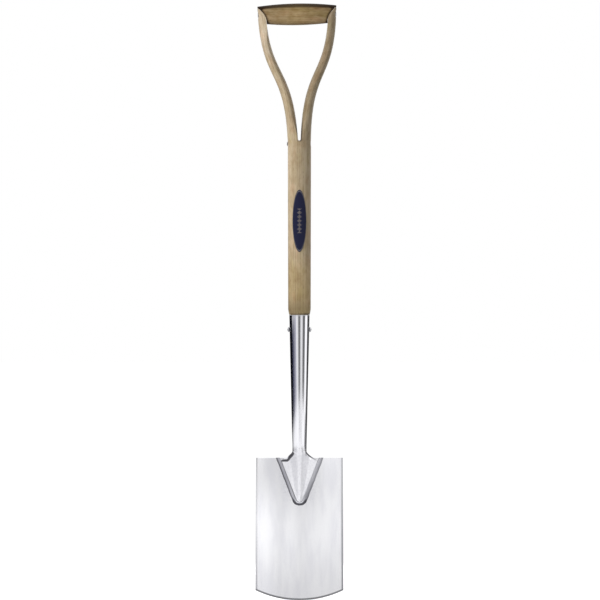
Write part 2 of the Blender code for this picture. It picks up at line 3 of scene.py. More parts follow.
import bmesh
import bpy
import numpy as np
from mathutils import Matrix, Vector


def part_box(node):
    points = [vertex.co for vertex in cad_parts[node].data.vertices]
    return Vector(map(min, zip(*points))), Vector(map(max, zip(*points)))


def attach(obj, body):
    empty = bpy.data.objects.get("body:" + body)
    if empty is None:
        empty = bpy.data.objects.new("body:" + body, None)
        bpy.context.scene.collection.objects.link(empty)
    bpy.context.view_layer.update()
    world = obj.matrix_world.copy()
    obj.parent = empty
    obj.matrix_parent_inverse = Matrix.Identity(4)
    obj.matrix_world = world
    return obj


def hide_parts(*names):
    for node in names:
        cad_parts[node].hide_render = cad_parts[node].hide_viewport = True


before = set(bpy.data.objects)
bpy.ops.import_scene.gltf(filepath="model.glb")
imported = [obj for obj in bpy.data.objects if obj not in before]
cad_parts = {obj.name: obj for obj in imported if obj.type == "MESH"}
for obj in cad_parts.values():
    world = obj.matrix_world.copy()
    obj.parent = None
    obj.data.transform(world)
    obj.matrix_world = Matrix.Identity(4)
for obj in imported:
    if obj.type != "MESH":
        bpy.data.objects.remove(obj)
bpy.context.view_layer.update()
MM = 0.001
MERGE_DISTANCE = 0.002 * MM

# Places from the frame
blade_low, blade_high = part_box("blade")
rivet_low, rivet_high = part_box("socket_rivet")
label_low, label_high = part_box("oval_label")
AXIS_Y = (rivet_low.y + rivet_high.y) / 2
FOOT_Z = blade_high.z
MOUTH_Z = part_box("socket")[1].z
LABEL_Z = (label_low.z + label_high.z) / 2
SOCKET_RIVET_Z = (rivet_low.z + rivet_high.z) / 2

# Blade
BLADE_WIDTH = blade_high.x - blade_low.x
SIDE_DRAW = 1.5 * MM
BLADE_THICKNESS = 2.2 * MM
BLADE_DISH = 6 * MM
BLADE_LIFT = math.radians(10)
CUTTING_EDGE_RADIUS = 160 * MM
BLADE_SET_BACK = 2 * MM
EDGE_ROUND = 0.9 * MM
GRIND_WIDTH = 7 * MM  # of the ground strip behind the cutting edge
GRIND_DEPTH = 0.9 * MM
SIDE_LINE_WIDTH, LOW_LINE_WIDTH = 3.9 * MM, 3.9 * MM  # of the painted shade lines along the blade's edges
EDGE_LINE_FADE = 1.5 * MM

# Socket and tail
SOCKET_WALL = 1.8 * MM
SOCKET_MOUTH_RADIUS = 16.1 * MM
NECK_RADIUS = 11.3 * MM
NECK_Z = FOOT_Z + 10 * MM
NECK_EASE = 8 * MM
SOCKET_BORE_DEPTH = 196 * MM
CRANK_LENGTH = 28.5 * MM
CRANK_HIGH_Z = FOOT_Z + 1 * MM + CRANK_LENGTH
SHOULDER_Z = FOOT_Z - 4.5 * MM
SHOULDER_FLARE_POWER = 1.47
TAIL_HALF_WIDTH = 36.5 * MM
TAIL_SIDE_ANGLE = math.radians(21.06)
TAIL_TIP_RADIUS = 10.7 * MM
TAIL_EDGE_THICKNESS = 3.2 * MM
TAIL_EDGE_ROUND = 0.4 * MM
TAIL_TIP_RISE = 0.5 * MM
RIDGE_TOP_HALF_WIDTH = 17 * MM
RIDGE_TIP_HALF_WIDTH = 5 * MM
WELD_WIDTH = 5.2 * MM
WELD_TOE_THICKNESS = 0.3 * MM
WELD_CROWN = 0.3 * MM
WELD_INNER_ROUND = 0.4 * MM
# Left, tip and right: how far the weld's toe runs out thin on the blade, past the solid's bead
TOE_SPREADS = {-1: 0.9 * MM, 0: 0.3 * MM, 1: 1.7 * MM}
TOE_WANDER = 0.2 * MM
# Painted shade beside the neck, as points in mm out from the middle and over the foot edge
LEFT_NECK_SHADE = ((11.4, 6.5), (13.4, 3.3), (15.6, 0.1), (17.5, -3.0), (19.5, -4.6), (30, -4.6))
LEFT_NECK_SHADE_WIDTHS = (3.4 * MM, 2.0 * MM)
RIGHT_NECK_SHADE = ((10.2, 16.0), (9.9, 8.0), (10.6, 4.2))
RIGHT_NECK_SHADE_WIDTH = 1.6 * MM
# Painted shade along the right shoulder and at the tail's tip: its widths, heights and fades
RIGHT_SHOULDER_SHADE = 1.4 * MM
TAIL_TIP_SHADE_HEIGHT, TAIL_TIP_SHADE_FADE = 14 * MM, 6 * MM
MOUTH_SHADE_HEIGHT, TIP_SHADE_HEIGHT = 2 * MM, 9 * MM
SATIN_TOP_Z, SATIN_FADE = FOOT_Z + 21 * MM, 18 * MM
HEAT_MARK_Z, HEAT_MARK_FADE, HEAT_MARK_HALF_WIDTH = 115 * MM, 60 * MM, 34 * MM  # of the weld, on the blade
GAP = 0.3 * MM

# Shaft and fork
STEM_LENGTH = 278 * MM
STEM_LOW_RADIUS = 17.95 * MM
STEM_HIGH_RADIUS = 18.6 * MM
MOUTH_TAPER_LENGTH = 11.5 * MM
FOOT_FIT = 0.4 * MM
SLOT_HALF_WIDTH = 2.05 * MM
FORK_HEIGHT = 212.5 * MM
ARM_TOP_HALF_SPREAD = 56.6 * MM
ARM_TOP_THICKNESS = 12.7 * MM
ARM_LOW_PULL = 123.3 * MM
ARM_HIGH_PULL = 118 * MM
ARM_LOW_SLOPE = 0.037
ARM_HIGH_SLOPE = 0.031
ARM_DEPTH_RUN = 150 * MM
ARM_ROUNDING_RUN = 45 * MM
ARM_SECTION_POWER = 2.4
SCARF_LENGTH = 20 * MM
ARM_TIP_FLAT = 0.8 * MM
AGED_RUN, OILED_RUN = 75 * MM, 30 * MM  # up the stem from the socket's mouth
# Painted shade on the stem at the socket's mouth, at the foot of the fork's slot and on the arms beside it
MOUTH_LINE_HEIGHT, MOUTH_LINE_FADE = 3.6 * MM, 1.4 * MM
SLOT_FOOT_HEIGHT, SLOT_SHADE_WIDTH, SLOT_SHADE_RUN = 4 * MM, 2.2 * MM, 34 * MM
HANDLED_WIDTH, HANDLED_FROM = 2 * MM, 30 * MM
JOINT_STAIN_WIDTH, JOINT_STAIN_HEIGHT, JOINT_STAIN_FADE = 2.5 * MM, 14 * MM, 12 * MM
SAPWOOD_FROM, SAPWOOD_FADE = 108 * MM, 50 * MM  # up the left arm

# Grip
GRIP_MIDDLE_RADIUS = 17.4 * MM
GRIP_END_RADIUS = 13.3 * MM
GRIP_BELOW_TIPS = 11 * MM
HEAD_LEAN = math.radians(1.05)
HEAD_BEND_LENGTH = 20 * MM
GRIP_LOG_SHIFT = 40 * MM  # the grip is turned from another place in the log
GRIP_END_STAIN, GRIP_CORNER_STAIN = 6 * MM, 14 * MM
FACET_ALLOWANCE = 0.1 * MM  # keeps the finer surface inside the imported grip's facets

# Fasteners
ROD_RADIUS, ROD_HEAD_RADIUS, ROD_HEAD_HEIGHT = 3 * MM, 4.6 * MM, 0.9 * MM
GRIP_BURR_RADIUS, GRIP_BURR_THICKNESS, GRIP_BURR_INSET = 6 * MM, 1.3 * MM, 3 * MM
RIVET_RADIUS, RIVET_HEAD_RADIUS, RIVET_HEAD_HEIGHT = 2.5 * MM, 3.9 * MM, 3.2 * MM
FORK_RIVET_RADIUS, FORK_RIVET_HEAD_RADIUS = 2 * MM, 3.4 * MM
FORK_RIVET_HEAD_HEIGHT, FORK_RIVET_TAIL_HEIGHT = 1.3 * MM, 0.65 * MM
FORK_BURR_RADIUS, FORK_BURR_THICKNESS, FORK_BURR_INSET = 4.4 * MM, 1 * MM, 2.6 * MM
FORK_RIVET_BELOW_SPLIT = 4.8 * MM
RIVET_FIT = 0.3 * MM
HEAD_RIM_SHARE = 0.25

# Label
LABEL_LENGTH = label_high.z - label_low.z
LABEL_CHORD = 21.4 * MM
LABEL_THICKNESS = 0.3 * MM

SPLIT_Z = MOUTH_Z + STEM_LENGTH
TIP_Z = SPLIT_Z + FORK_HEIGHT
GRIP_Z = TIP_Z - GRIP_BELOW_TIPS
LEAN_Z = SPLIT_Z - HEAD_BEND_LENGTH
FORK_RIVET_Z = SPLIT_Z - FORK_RIVET_BELOW_SPLIT
ARM_OUTER_X = ARM_TOP_HALF_SPREAD + ARM_TOP_THICKNESS / 2
WELD_APEX_Z = FOOT_Z - TAIL_HALF_WIDTH / math.tan(TAIL_SIDE_ANGLE)
TIP_CENTRE_Z = WELD_APEX_Z + TAIL_TIP_RADIUS / math.sin(TAIL_SIDE_ANGLE)
TAIL_INNER_RADIUS = TAIL_TIP_RADIUS - WELD_WIDTH
TAIL_TIP_Z = TIP_CENTRE_Z - TAIL_INNER_RADIUS


def smooth(t):
    """0 below 0, 1 above 1, and three t squared less two t cubed between."""
    t = np.clip(t, 0.0, 1.0)
    return t * t * (3 - 2 * t)


def mix(a, b, t):
    return a + (b - a) * t


def leaned(points):
    """Points above the bend move towards -X by the lean's slope times their rise, and turn with it."""
    points = np.array(points, dtype=float)
    rise = points[..., 2] - LEAN_Z
    slope = math.tan(HEAD_LEAN) * smooth(rise / HEAD_BEND_LENGTH)
    shift = slope * np.maximum(rise - HEAD_BEND_LENGTH / 2, 0.0)
    points[..., 2] += points[..., 0] * slope
    points[..., 0] -= shift
    return points


# Meshes


def grid_faces(rows, columns, start=0, around=True):
    """Quads between the rows of a numbered grid, closed round its columns or open."""
    row = np.arange(rows - 1)[:, None]
    column = np.arange(columns if around else columns - 1)[None, :]
    after = (column + 1) % columns
    low, high = row * columns, (row + 1) * columns
    corners = (low + column, low + after, high + after, high + column)
    return (np.stack(np.broadcast_arrays(*corners), -1).reshape(-1, 4) + start).tolist()


def tube_faces(rows, columns):
    """Quads between the rings of a closed body, and one face over each end."""
    last = (rows - 1) * columns
    return grid_faces(rows, columns) + [list(range(columns))[::-1], list(range(last, last + columns))]


def add_object(name, data):
    made = bpy.data.objects.new(name, data)
    bpy.context.scene.collection.objects.link(made)
    return made


def add_surface(name, points, faces):
    """An object whose mesh has the points and faces."""
    mesh = bpy.data.meshes.new(name)
    mesh.from_pydata(np.asarray(points, dtype=float).reshape(-1, 3).tolist(), [], faces)
    return add_object(name, mesh)


def set_trait(mesh, trait, values):
    """Gives each point of the mesh a value or a triple, which its finish reads by name."""
    values = np.asarray(values, dtype=np.float32).reshape(len(mesh.vertices), -1)
    kind, field = ("FLOAT_VECTOR", "vector") if values.shape[1] == 3 else ("FLOAT", "value")
    mesh.attributes.new(trait, kind, "POINT").data.foreach_set(field, values.ravel())


def close_up(mesh):
    """Merges points that meet, and turns the faces outwards."""
    work = bmesh.new()
    work.from_mesh(mesh)
    bmesh.ops.remove_doubles(work, verts=work.verts, dist=MERGE_DISTANCE)
    bmesh.ops.recalc_face_normals(work, faces=work.faces)
    work.to_mesh(mesh)
    work.free()


def skin(name, points, faces, finish, replaced, traits=None, sharp=35, bores=()):
    """A piece of the spade: its closed surface drilled, and smooth but for its sharp edges."""
    piece = add_surface(name, np.asarray(points, dtype=float) + (0.0, AXIS_Y, 0.0), faces)
    for trait, values in (traits or {}).items():
        set_trait(piece.data, trait, values)
    close_up(piece.data)
    for bore in bores:
        hole = piece.modifiers.new(bore.name, "BOOLEAN")
        hole.operation = "DIFFERENCE"
        hole.solver = "EXACT"
        hole.object = bore
    if bores:
        shaped = bpy.data.meshes.new_from_object(piece.evaluated_get(bpy.context.evaluated_depsgraph_get()))
        piece.modifiers.clear()
        piece.data = shaped
        shaped.name = name
    for bore in bores:
        bpy.data.objects.remove(bore)
    piece.data.materials.clear()
    piece.data.materials.append(finish)
    piece.data.shade_smooth()
    piece.data.set_sharp_from_angle(angle=math.radians(sharp))
    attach(piece, "root")
    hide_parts(*replaced)


def ring_angles(count, start=0.5):
    """Angles of a ring's points, from a start given in steps."""
    return 2 * math.pi * (np.arange(count) + start) / count


def turned(profile, height, side=1, around=64):
    """A body turned about X: each (x, radius) of the profile swept as a ring, mirrored by side -1."""
    profile = np.array(profile) * (side, 1)
    turn = ring_angles(around)
    x = np.repeat(profile[:, :1], around, 1)
    y = profile[:, 1:] * np.cos(turn)
    z = height + profile[:, 1:] * np.sin(turn)
    return np.stack([x, y, z], -1), tube_faces(len(profile), around)


def make_bore(name, side, near, seat, beyond, rod, burr, height):
    """What is cut out of the wood: the rod's hole up to a seat, and the burr's recess beyond it."""
    hole, recess = rod + RIVET_FIT, burr + RIVET_FIT
    rings, faces = turned([(near, hole), (seat, hole), (seat, recess), (beyond, recess)], height, side)
    made = add_surface(name, leaned(rings) + (0.0, AXIS_Y, 0.0), faces)
    close_up(made.data)
    return made


# Finishes


def paint(code):
    """Linear colour of an sRGB hex code."""
    share = [int(code[i : i + 2], 16) / 255 for i in (1, 3, 5)]
    return (*[s / 12.92 if s <= 0.04045 else ((s + 0.055) / 1.055) ** 2.4 for s in share], 1.0)


def give(node, inputs):
    """Gives a node's inputs, by name or number, their values or their links from other nodes."""
    for socket, value in inputs.items() if isinstance(inputs, dict) else enumerate(inputs):
        if isinstance(value, bpy.types.NodeSocket):
            node.id_data.links.new(value, node.inputs[socket])
        else:
            node.inputs[socket].default_value = value


def add_node(tree, kind, inputs, output=0, **settings):
    """Adds a node with its settings and inputs, and returns one of its outputs."""
    node = tree.nodes.new("ShaderNode" + kind)
    for name, value in settings.items():
        setattr(node, name, value)
    give(node, inputs)
    return node.outputs[output]


COLOURS = {"output": 2, "data_type": "RGBA"}
EASED = {"interpolation_type": "SMOOTHSTEP"}


def new_finish(name, *traits):
    """A material, its tree, its Principled shader, and the mesh's traits that it reads."""
    made = bpy.data.materials.new(name)
    made.use_nodes = True
    tree = made.node_tree
    outputs = [1 if trait in ("grain", "print", "level") else 2 for trait in traits]  # a triple or a value
    read = [add_node(tree, "Attribute", {}, i, attribute_name=trait) for trait, i in zip(traits, outputs)]
    return made, tree, tree.nodes["Principled BSDF"], *read


def grown(tree, place, patterns):
    """Cloud patterns by name, from sizes in mm across and along the grain, detail and shift."""
    made = {}
    for name, (across, along, detail, shift) in patterns.items():
        scale = (1 / (across * MM), 1 / (across * MM), 1 / (along * MM))
        laid = {"Vector": place, "Scale": scale, "Location": (shift, 2 * shift, shift)}
        clouded = {"Vector": add_node(tree, "Mapping", laid), "Scale": 1.0, "Detail": detail}
        made[name] = add_node(tree, "TexNoise", clouded)
    return made


def ash(name, tones, blotched, roughness, sheen):
    """Riven European ash, steam bent or turned, sanded and waxed: straight silky grain in growth layers
    about 3 mm apart, with a band of open pores in each that shows as fine dark dashes, blotches where the
    oil has soaked in, a browner heart on one side, pale sapwood on the other, and dark handled edges, with
    painted shade in the fork's slot, at the socket's mouth and over the grip's top and underside. Its
    fibres are drawn far coarser than life, so that they show."""
    traits = ("grain", "heart", "sapwood", "aged", "soil_and_shade")
    made, tree, shader, grain, heart, sapwood, aged, soil_and_shade = new_finish(name, *traits)
    patterns = {
        "streaks": (1.6, 90, 3.0, 0),
        "fibres": (0.35, 14, 2.0, 3),
        "clouds": (14, 70, 2.0, 5),
        "blotches": (7, 13, 3.0, 8),
        "dashes": (0.45, 5, 1.0, 7),
        "tints": (10, 24, 2.0, 11),
    }
    pattern = grown(tree, grain, patterns)
    layer_size = 3.0 * MM
    rings_per_scale = math.pi / 10
    pith = (48 * MM, -34 * MM, 0)  # the middle of the tree, off to one side of the piece
    laid = add_node(tree, "Mapping", {"Vector": grain, "Scale": (1, 1, 0.02), "Location": pith})
    wave = {"Vector": laid, "Scale": rings_per_scale / layer_size, "Distortion": 2.2, "Detail": 1.0}
    rings = {"wave_type": "RINGS", "rings_direction": "Z", "wave_profile": "SAW"}
    layers = add_node(tree, "TexWave", wave, 1, **rings)
    early = add_node(tree, "MapRange", [layers, 0.45, 0.95], **EASED)
    dashes = add_node(tree, "MapRange", [pattern["dashes"], 0.56, 0.64], **EASED)
    pores = add_node(tree, "Math", [dashes, early], operation="MULTIPLY")

    colour = paint(tones["pale"])
    layered = (
        (pattern["clouds"], 0.35, 0.68, 1.0, "tan"),
        (sapwood, 0.0, 1.0, 0.6, "sapwood"),
        (pattern["tints"], 0.52, 0.72, 0.4, "rosy"),
        (pattern["tints"], 0.48, 0.30, 0.4, "straw"),
        (pattern["streaks"], 0.42, 0.72, 0.45, "brown"),
        (early, 0.0, 1.0, 0.25, "brown"),
        (pattern["fibres"], 0.40, 0.75, 0.2, "pale"),
        (pores, 0.0, 1.0, 0.5, "pore"),
        (pattern["blotches"], 0.38, 0.70, blotched, "blotch"),
        (heart, -0.9, 0.9, 1.0, "heart"),
        (aged, 0.0, 1.0, 1.0, "aged"),
        (soil_and_shade, 0.0, 1.0, 1.0, "soil_shade"),
    )
    for share, low, high, strength, tone in layered:
        amount = add_node(tree, "MapRange", [share, low, high, 0.0, strength], **EASED)
        way = "MULTIPLY" if tone in ("blotch", "heart", "aged") else "MIX"
        mixed = {0: amount, 6: colour, 7: paint(tones[tone])}
        colour = add_node(tree, "Mix", mixed, **COLOURS, blend_type=way)
    gloss = add_node(tree, "Math", [pores, 0.18, roughness], operation="MULTIPLY_ADD")
    gloss = add_node(tree, "Math", [pattern["streaks"], 0.10, gloss], operation="MULTIPLY_ADD")
    relief = add_node(tree, "Math", [pores, -0.8, pattern["fibres"]], operation="MULTIPLY_ADD")
    bump = add_node(tree, "Bump", {"Height": relief, "Strength": 0.35, "Distance": 0.12 * MM})
    give(shader, {"Base Color": colour, "Roughness": gloss, "Normal": bump, "Specular IOR Level": sheen})
    return made


def polished_steel(name, tint, shade, mirror, satin, line, relief):
    """Stainless steel, rolled or forged and then polished along its length on a soft mop: fine upright lines
    and slow changes of gloss, mirror bright or satin as the piece's own attribute says, with painted shade
    in dark grey along its creases, edges and joints. The lines are drawn coarser than a mop leaves them,
    so that they show."""
    made, tree, shader, painted_shade, matted = new_finish(name, "painted_shade", "satin")
    place = add_node(tree, "TexCoord", {}, 3)
    lines, clouds, mottle = (line, 60 * line, 3.0, 0), (16, 160, 2.0, 4), (2.4, 3.2, 2.0, 6)
    pattern = grown(tree, place, {"lines": lines, "clouds": clouds, "mottle": mottle})
    spots = add_node(tree, "Math", [pattern["mottle"], matted], operation="MULTIPLY")
    colour = paint(tint)
    layered = (
        (pattern["clouds"], 0.35, 0.70, 1.0, shade),
        (pattern["lines"], 0.50, 0.80, 0.25, shade),
        (spots, 0.42, 0.62, 0.14, "#B0B0BC"),
        (painted_shade, 0.0, 1.0, 0.9, "#2C2C34"),
    )
    for share, low, high, strength, tone in layered:
        amount = add_node(tree, "MapRange", [share, low, high, 0.0, strength], **EASED)
        colour = add_node(tree, "Mix", {0: amount, 6: colour, 7: paint(tone)}, **COLOURS)
    gloss = add_node(tree, "MapRange", [matted, 0.0, 1.0, mirror, satin])
    gloss = add_node(tree, "Math", [pattern["lines"], 0.06, gloss], operation="MULTIPLY_ADD")
    gloss = add_node(tree, "Math", [painted_shade, 0.2, gloss], operation="MULTIPLY_ADD")
    bump = add_node(tree, "Bump", {"Height": pattern["lines"], "Strength": 0.25, "Distance": relief})
    give(shader, {"Base Color": colour, "Roughness": gloss, "Normal": bump, "Metallic": 1.0})
    return made


def printed_foil(name):
    """Printed polyester foil, heat pressed onto the waxed wood: a dark blue oval with a thin dull edge line
    and a short chain of lozenges, slightly shiny and faintly rippled by the grain under it."""
    made, tree, shader, place = new_finish(name, "print")
    repeat, half_width, chain_length = 6.5 * MM, 3.6 * MM, 19.5 * MM
    drawn = dict(zip(("across", "along", "rim"), add_node(tree, "SeparateXYZ", [place]).node.outputs))
    wear = drawn["wear"] = add_node(tree, "TexNoise", {"Vector": place, "Scale": 900.0, "Detail": 2.0})
    steps = (  # name, operation and inputs
        ("step", "MULTIPLY", "along", 1 / repeat),
        ("step", "PINGPONG", "step", 0.5),
        ("side", "MULTIPLY", "across", 1 / half_width),
        ("side", "ABSOLUTE", "side"),
        ("spread", "MULTIPLY_ADD", "step", 2.0, "side"),
        ("outline", "COMPARE", "spread", 0.80, 0.13),
        ("middle", "LESS_THAN", "spread", 0.34),
        ("motif", "MAXIMUM", "outline", "middle"),
        ("reach", "ABSOLUTE", "along"),
        ("reach", "LESS_THAN", "reach", chain_length),
        ("motif", "MULTIPLY", "motif", "reach"),
        ("edge_line", "COMPARE", "rim", 0.955, 0.02),
    )
    for step, operation, *inputs in steps:
        drawn[step] = add_node(tree, "Math", [drawn.get(i, i) for i in inputs], operation=operation)
    ink = add_node(tree, "MapRange", [wear, 0.25, 0.55, 0.5, 1.0])
    colour = paint("#1B1D36")
    layered = (("wear", 0.4, "#2B2F4C"), ("edge_line", 0.5, "#8F8C8A"), ("motif", 0.75, "#A0968A"))
    for share, strength, tone in layered:
        amount = add_node(tree, "Math", [drawn[share], ink], operation="MULTIPLY")
        amount = add_node(tree, "Math", [amount, strength], operation="MULTIPLY")
        colour = add_node(tree, "Mix", {0: amount, 6: colour, 7: paint(tone)}, **COLOURS)
    bump = add_node(tree, "Bump", {"Height": wear, "Strength": 0.2, "Distance": 0.05 * MM})
    give(shader, {"Base Color": colour, "Roughness": 0.34, "Specular IOR Level": 0.12, "Normal": bump})
    return made


ASH_TONES = dict(
    pale="#CFBD9F", tan="#BCA98A", brown="#9E8A6C", pore="#6B5538", blotch="#D9CDBB", rosy="#D9B799",
    straw="#C4B586", heart="#D4D3D0", aged="#F7F1DD", sapwood="#DACBB6", soil_shade="#33271A",
)
GRIP_TONES = ASH_TONES | dict(pale="#BCA37B", tan="#A79062", brown="#8A744C", rosy="#B98F68")
GRIP_TONES |= dict(straw="#A08B50", blotch="#CDBFA4", heart="#DDDDE4", soil_shade="#271706")
WAXED_ASH = ash("waxed_ash", ASH_TONES, 0.5, 0.40, 0.25)
OILED_GRIP = ash("oiled_grip", GRIP_TONES, 0.55, 0.44, 0.08)
BLADE_STEEL = polished_steel("blade_steel", "#F3F3F6", "#E9E9EE", 0.09, 0.09, 0.5, 0.005 * MM)
SOCKET_STEEL = polished_steel("socket_steel", "#FAFAFE", "#F1F1F6", 0.05, 0.38, 0.4, 0.008 * MM)
WELD_STEEL = polished_steel("weld_steel", "#D2D2D8", "#B4B4BB", 0.26, 0.26, 0.5, 0.03 * MM)
RIVET_STEEL = polished_steel("rivet_steel", "#D8D8DC", "#B8B8BE", 0.24, 0.24, 0.3, 0.02 * MM)
FOIL = printed_foil("navy_foil")


# Blade


def blade_front(x, z):
    """Y of the blade's front: a plane that leans forward by the lift, less the dish times x squared."""
    lean = (FOOT_Z - z) * math.tan(BLADE_LIFT)
    return BLADE_SET_BACK - lean - BLADE_DISH * (x / (BLADE_WIDTH / 2)) ** 2


def edge_drop(inset, radius):
    """Fall of a rounded edge: the radius less the root of radius squared less its shortfall squared."""
    short = np.clip(radius - inset, 0.0, radius)
    return radius - np.sqrt(radius**2 - short**2)


def make_blade():
    """Front and back are one grid each: across, and down from the straight foot edge to the arc of the
    cutting edge, whose height is its radius less the root of radius squared less x squared. The back is
    ground forward just behind the cutting edge. Steps are short near the edges, where both faces fall away
    by a quarter circle."""
    insets = np.array([0, 0.05, 0.17, 0.38, 0.64, 0.9, 1.4, 1.9, 2.4, 3.0, 3.8]) * MM
    half = BLADE_WIDTH / 2
    inner = np.linspace(insets[-1] - half, half - insets[-1], 100)[1:-1]
    across = np.concatenate([insets - half, inner, half - insets[::-1]]) / half
    low = CUTTING_EDGE_RADIUS - np.sqrt(CUTTING_EDGE_RADIUS**2 - (half * across) ** 2)
    upper = FOOT_Z - insets[:, None] + 0 * low
    lower = low + insets[::-1, None]
    middle = mix(upper[-1], lower[0], np.linspace(0, 1, 120)[1:-1, None])
    z = np.concatenate([upper, middle, lower])
    down = (FOOT_Z - z) / (FOOT_Z - low)
    x = mix(BLADE_WIDTH - SIDE_DRAW, BLADE_WIDTH, down) / 2 * across
    side_inset = half * (1 - np.abs(across))
    ground = GRIND_DEPTH * smooth(1 - (z - low) / GRIND_WIDTH)
    thickness = BLADE_THICKNESS / math.cos(BLADE_LIFT) - ground
    radius = np.minimum(EDGE_ROUND, 0.42 * thickness)
    drop = np.maximum(edge_drop(side_inset, radius), edge_drop(np.minimum(z - low, FOOT_Z - z), radius))
    front = blade_front(x, z)
    face = np.stack([x, front + drop, z], -1)
    rear = np.stack([x, front + thickness - drop, z], -1)[:, ::-1]
    rings = np.concatenate([face, rear], 1)
    # Painted shade: dark lines along the blade's side edges and its cutting edge
    left = 0.14 + 0.3 * np.abs(2 * down - 0.9)
    right = mix(0.42, 0.62, down)
    sides = np.where(across < 0, left, right) * smooth((SIDE_LINE_WIDTH - side_inset) / EDGE_LINE_FADE)
    painted_shade = np.maximum(sides, 0.72 * smooth((LOW_LINE_WIDTH - z + low) / EDGE_LINE_FADE))
    satin = smooth((z - HEAT_MARK_Z) / HEAT_MARK_FADE) * smooth(1.6 - np.abs(x) / HEAT_MARK_HALF_WIDTH)
    traits = {"painted_shade": painted_shade, "satin": 0.3 + 0.7 * satin}
    traits = {name: np.concatenate([values, values[:, ::-1]], 1) for name, values in traits.items()}
    rows, columns = x.shape
    faces = grid_faces(rows, 2 * columns)
    for start in (0, (rows - 1) * 2 * columns):
        left = start + np.arange(columns - 1)
        right = start + 2 * columns - 1 - np.arange(columns - 1)
        faces += np.stack([left, left + 1, right - 1, right], -1).tolist()
    skin("blade_sheet", rings, faces, BLADE_STEEL, ["blade"], traits)


# Socket and tail


def socket_radius(z):
    """Outer radius of the tube: a straight taper from mouth to neck, eased out there by a parabola."""
    rise = z - NECK_Z
    rise = np.where(rise > NECK_EASE, rise, np.maximum(rise + NECK_EASE, 0.0) ** 2 / (4 * NECK_EASE))
    return mix(NECK_RADIUS, SOCKET_MOUTH_RADIUS, rise / (MOUTH_Z - NECK_Z))


def tail_half_width(z):
    """Half the V inside its weld: straight sides at the side angle, then the root of the tip's circle."""
    tangent_z = TIP_CENTRE_Z - TAIL_INNER_RADIUS * math.sin(TAIL_SIDE_ANGLE)
    apex_z = WELD_APEX_Z + WELD_WIDTH / math.sin(TAIL_SIDE_ANGLE)
    straight = (z - apex_z) * math.tan(TAIL_SIDE_ANGLE)
    arc = np.sqrt(np.maximum(TAIL_INNER_RADIUS**2 - (z - TIP_CENTRE_Z) ** 2, 0.0))
    return np.where(z > tangent_z, straight, arc)


def outline_half_width(z):
    """The tube's taper down to the neck, the shoulders' flare as a power of the way down, then the V."""
    down = np.clip((NECK_Z - z) / (NECK_Z - SHOULDER_Z), 0.0, 1.0)
    flare = mix(socket_radius(z), tail_half_width(SHOULDER_Z), down**SHOULDER_FLARE_POWER)
    return np.where(z >= NECK_Z, socket_radius(z), np.where(z > SHOULDER_Z, flare, tail_half_width(z)))


def tail_front(x, z, half_width):
    """Y of the tail's front: a plate of even thickness, a ridge of (1 - share squared) squared that dies to
    the tip, and a quarter round along its edges."""
    thickness = GAP + TAIL_EDGE_THICKNESS
    plate = blade_front(x, z) - thickness
    middle = blade_front(0.0, z) - thickness
    tip = blade_front(0.0, TAIL_TIP_Z) - thickness - TAIL_TIP_RISE
    ridge = mix(-NECK_RADIUS, tip, (NECK_Z - z) / (NECK_Z - TAIL_TIP_Z))
    down = np.clip((SHOULDER_Z - z) / (SHOULDER_Z - TAIL_TIP_Z), 0.0, 1.0)
    share = np.clip(np.abs(x) / mix(RIDGE_TOP_HALF_WIDTH, RIDGE_TIP_HALF_WIDTH, down), 0.0, 1.0)
    rounded = edge_drop(half_width - np.abs(x), TAIL_EDGE_ROUND)
    return plate + (ridge - middle) * (1 - share**2) ** 2 + rounded


def run_distance(x, z, points):
    """Distance in x and z to the nearest of the straight runs from each point to the next."""
    nearest = np.full(np.broadcast(x, z).shape, np.inf)
    for (x0, z0), (x1, z1) in zip(points[:-1], points[1:]):
        run = (x1 - x0, z1 - z0)
        along = ((x - x0) * run[0] + (z - z0) * run[1]) / (run[0] ** 2 + run[1] ** 2)
        along = np.clip(along, 0.0, 1.0)
        nearest = np.minimum(nearest, np.hypot(x - x0 - along * run[0], z - z0 - along * run[1]))
    return nearest


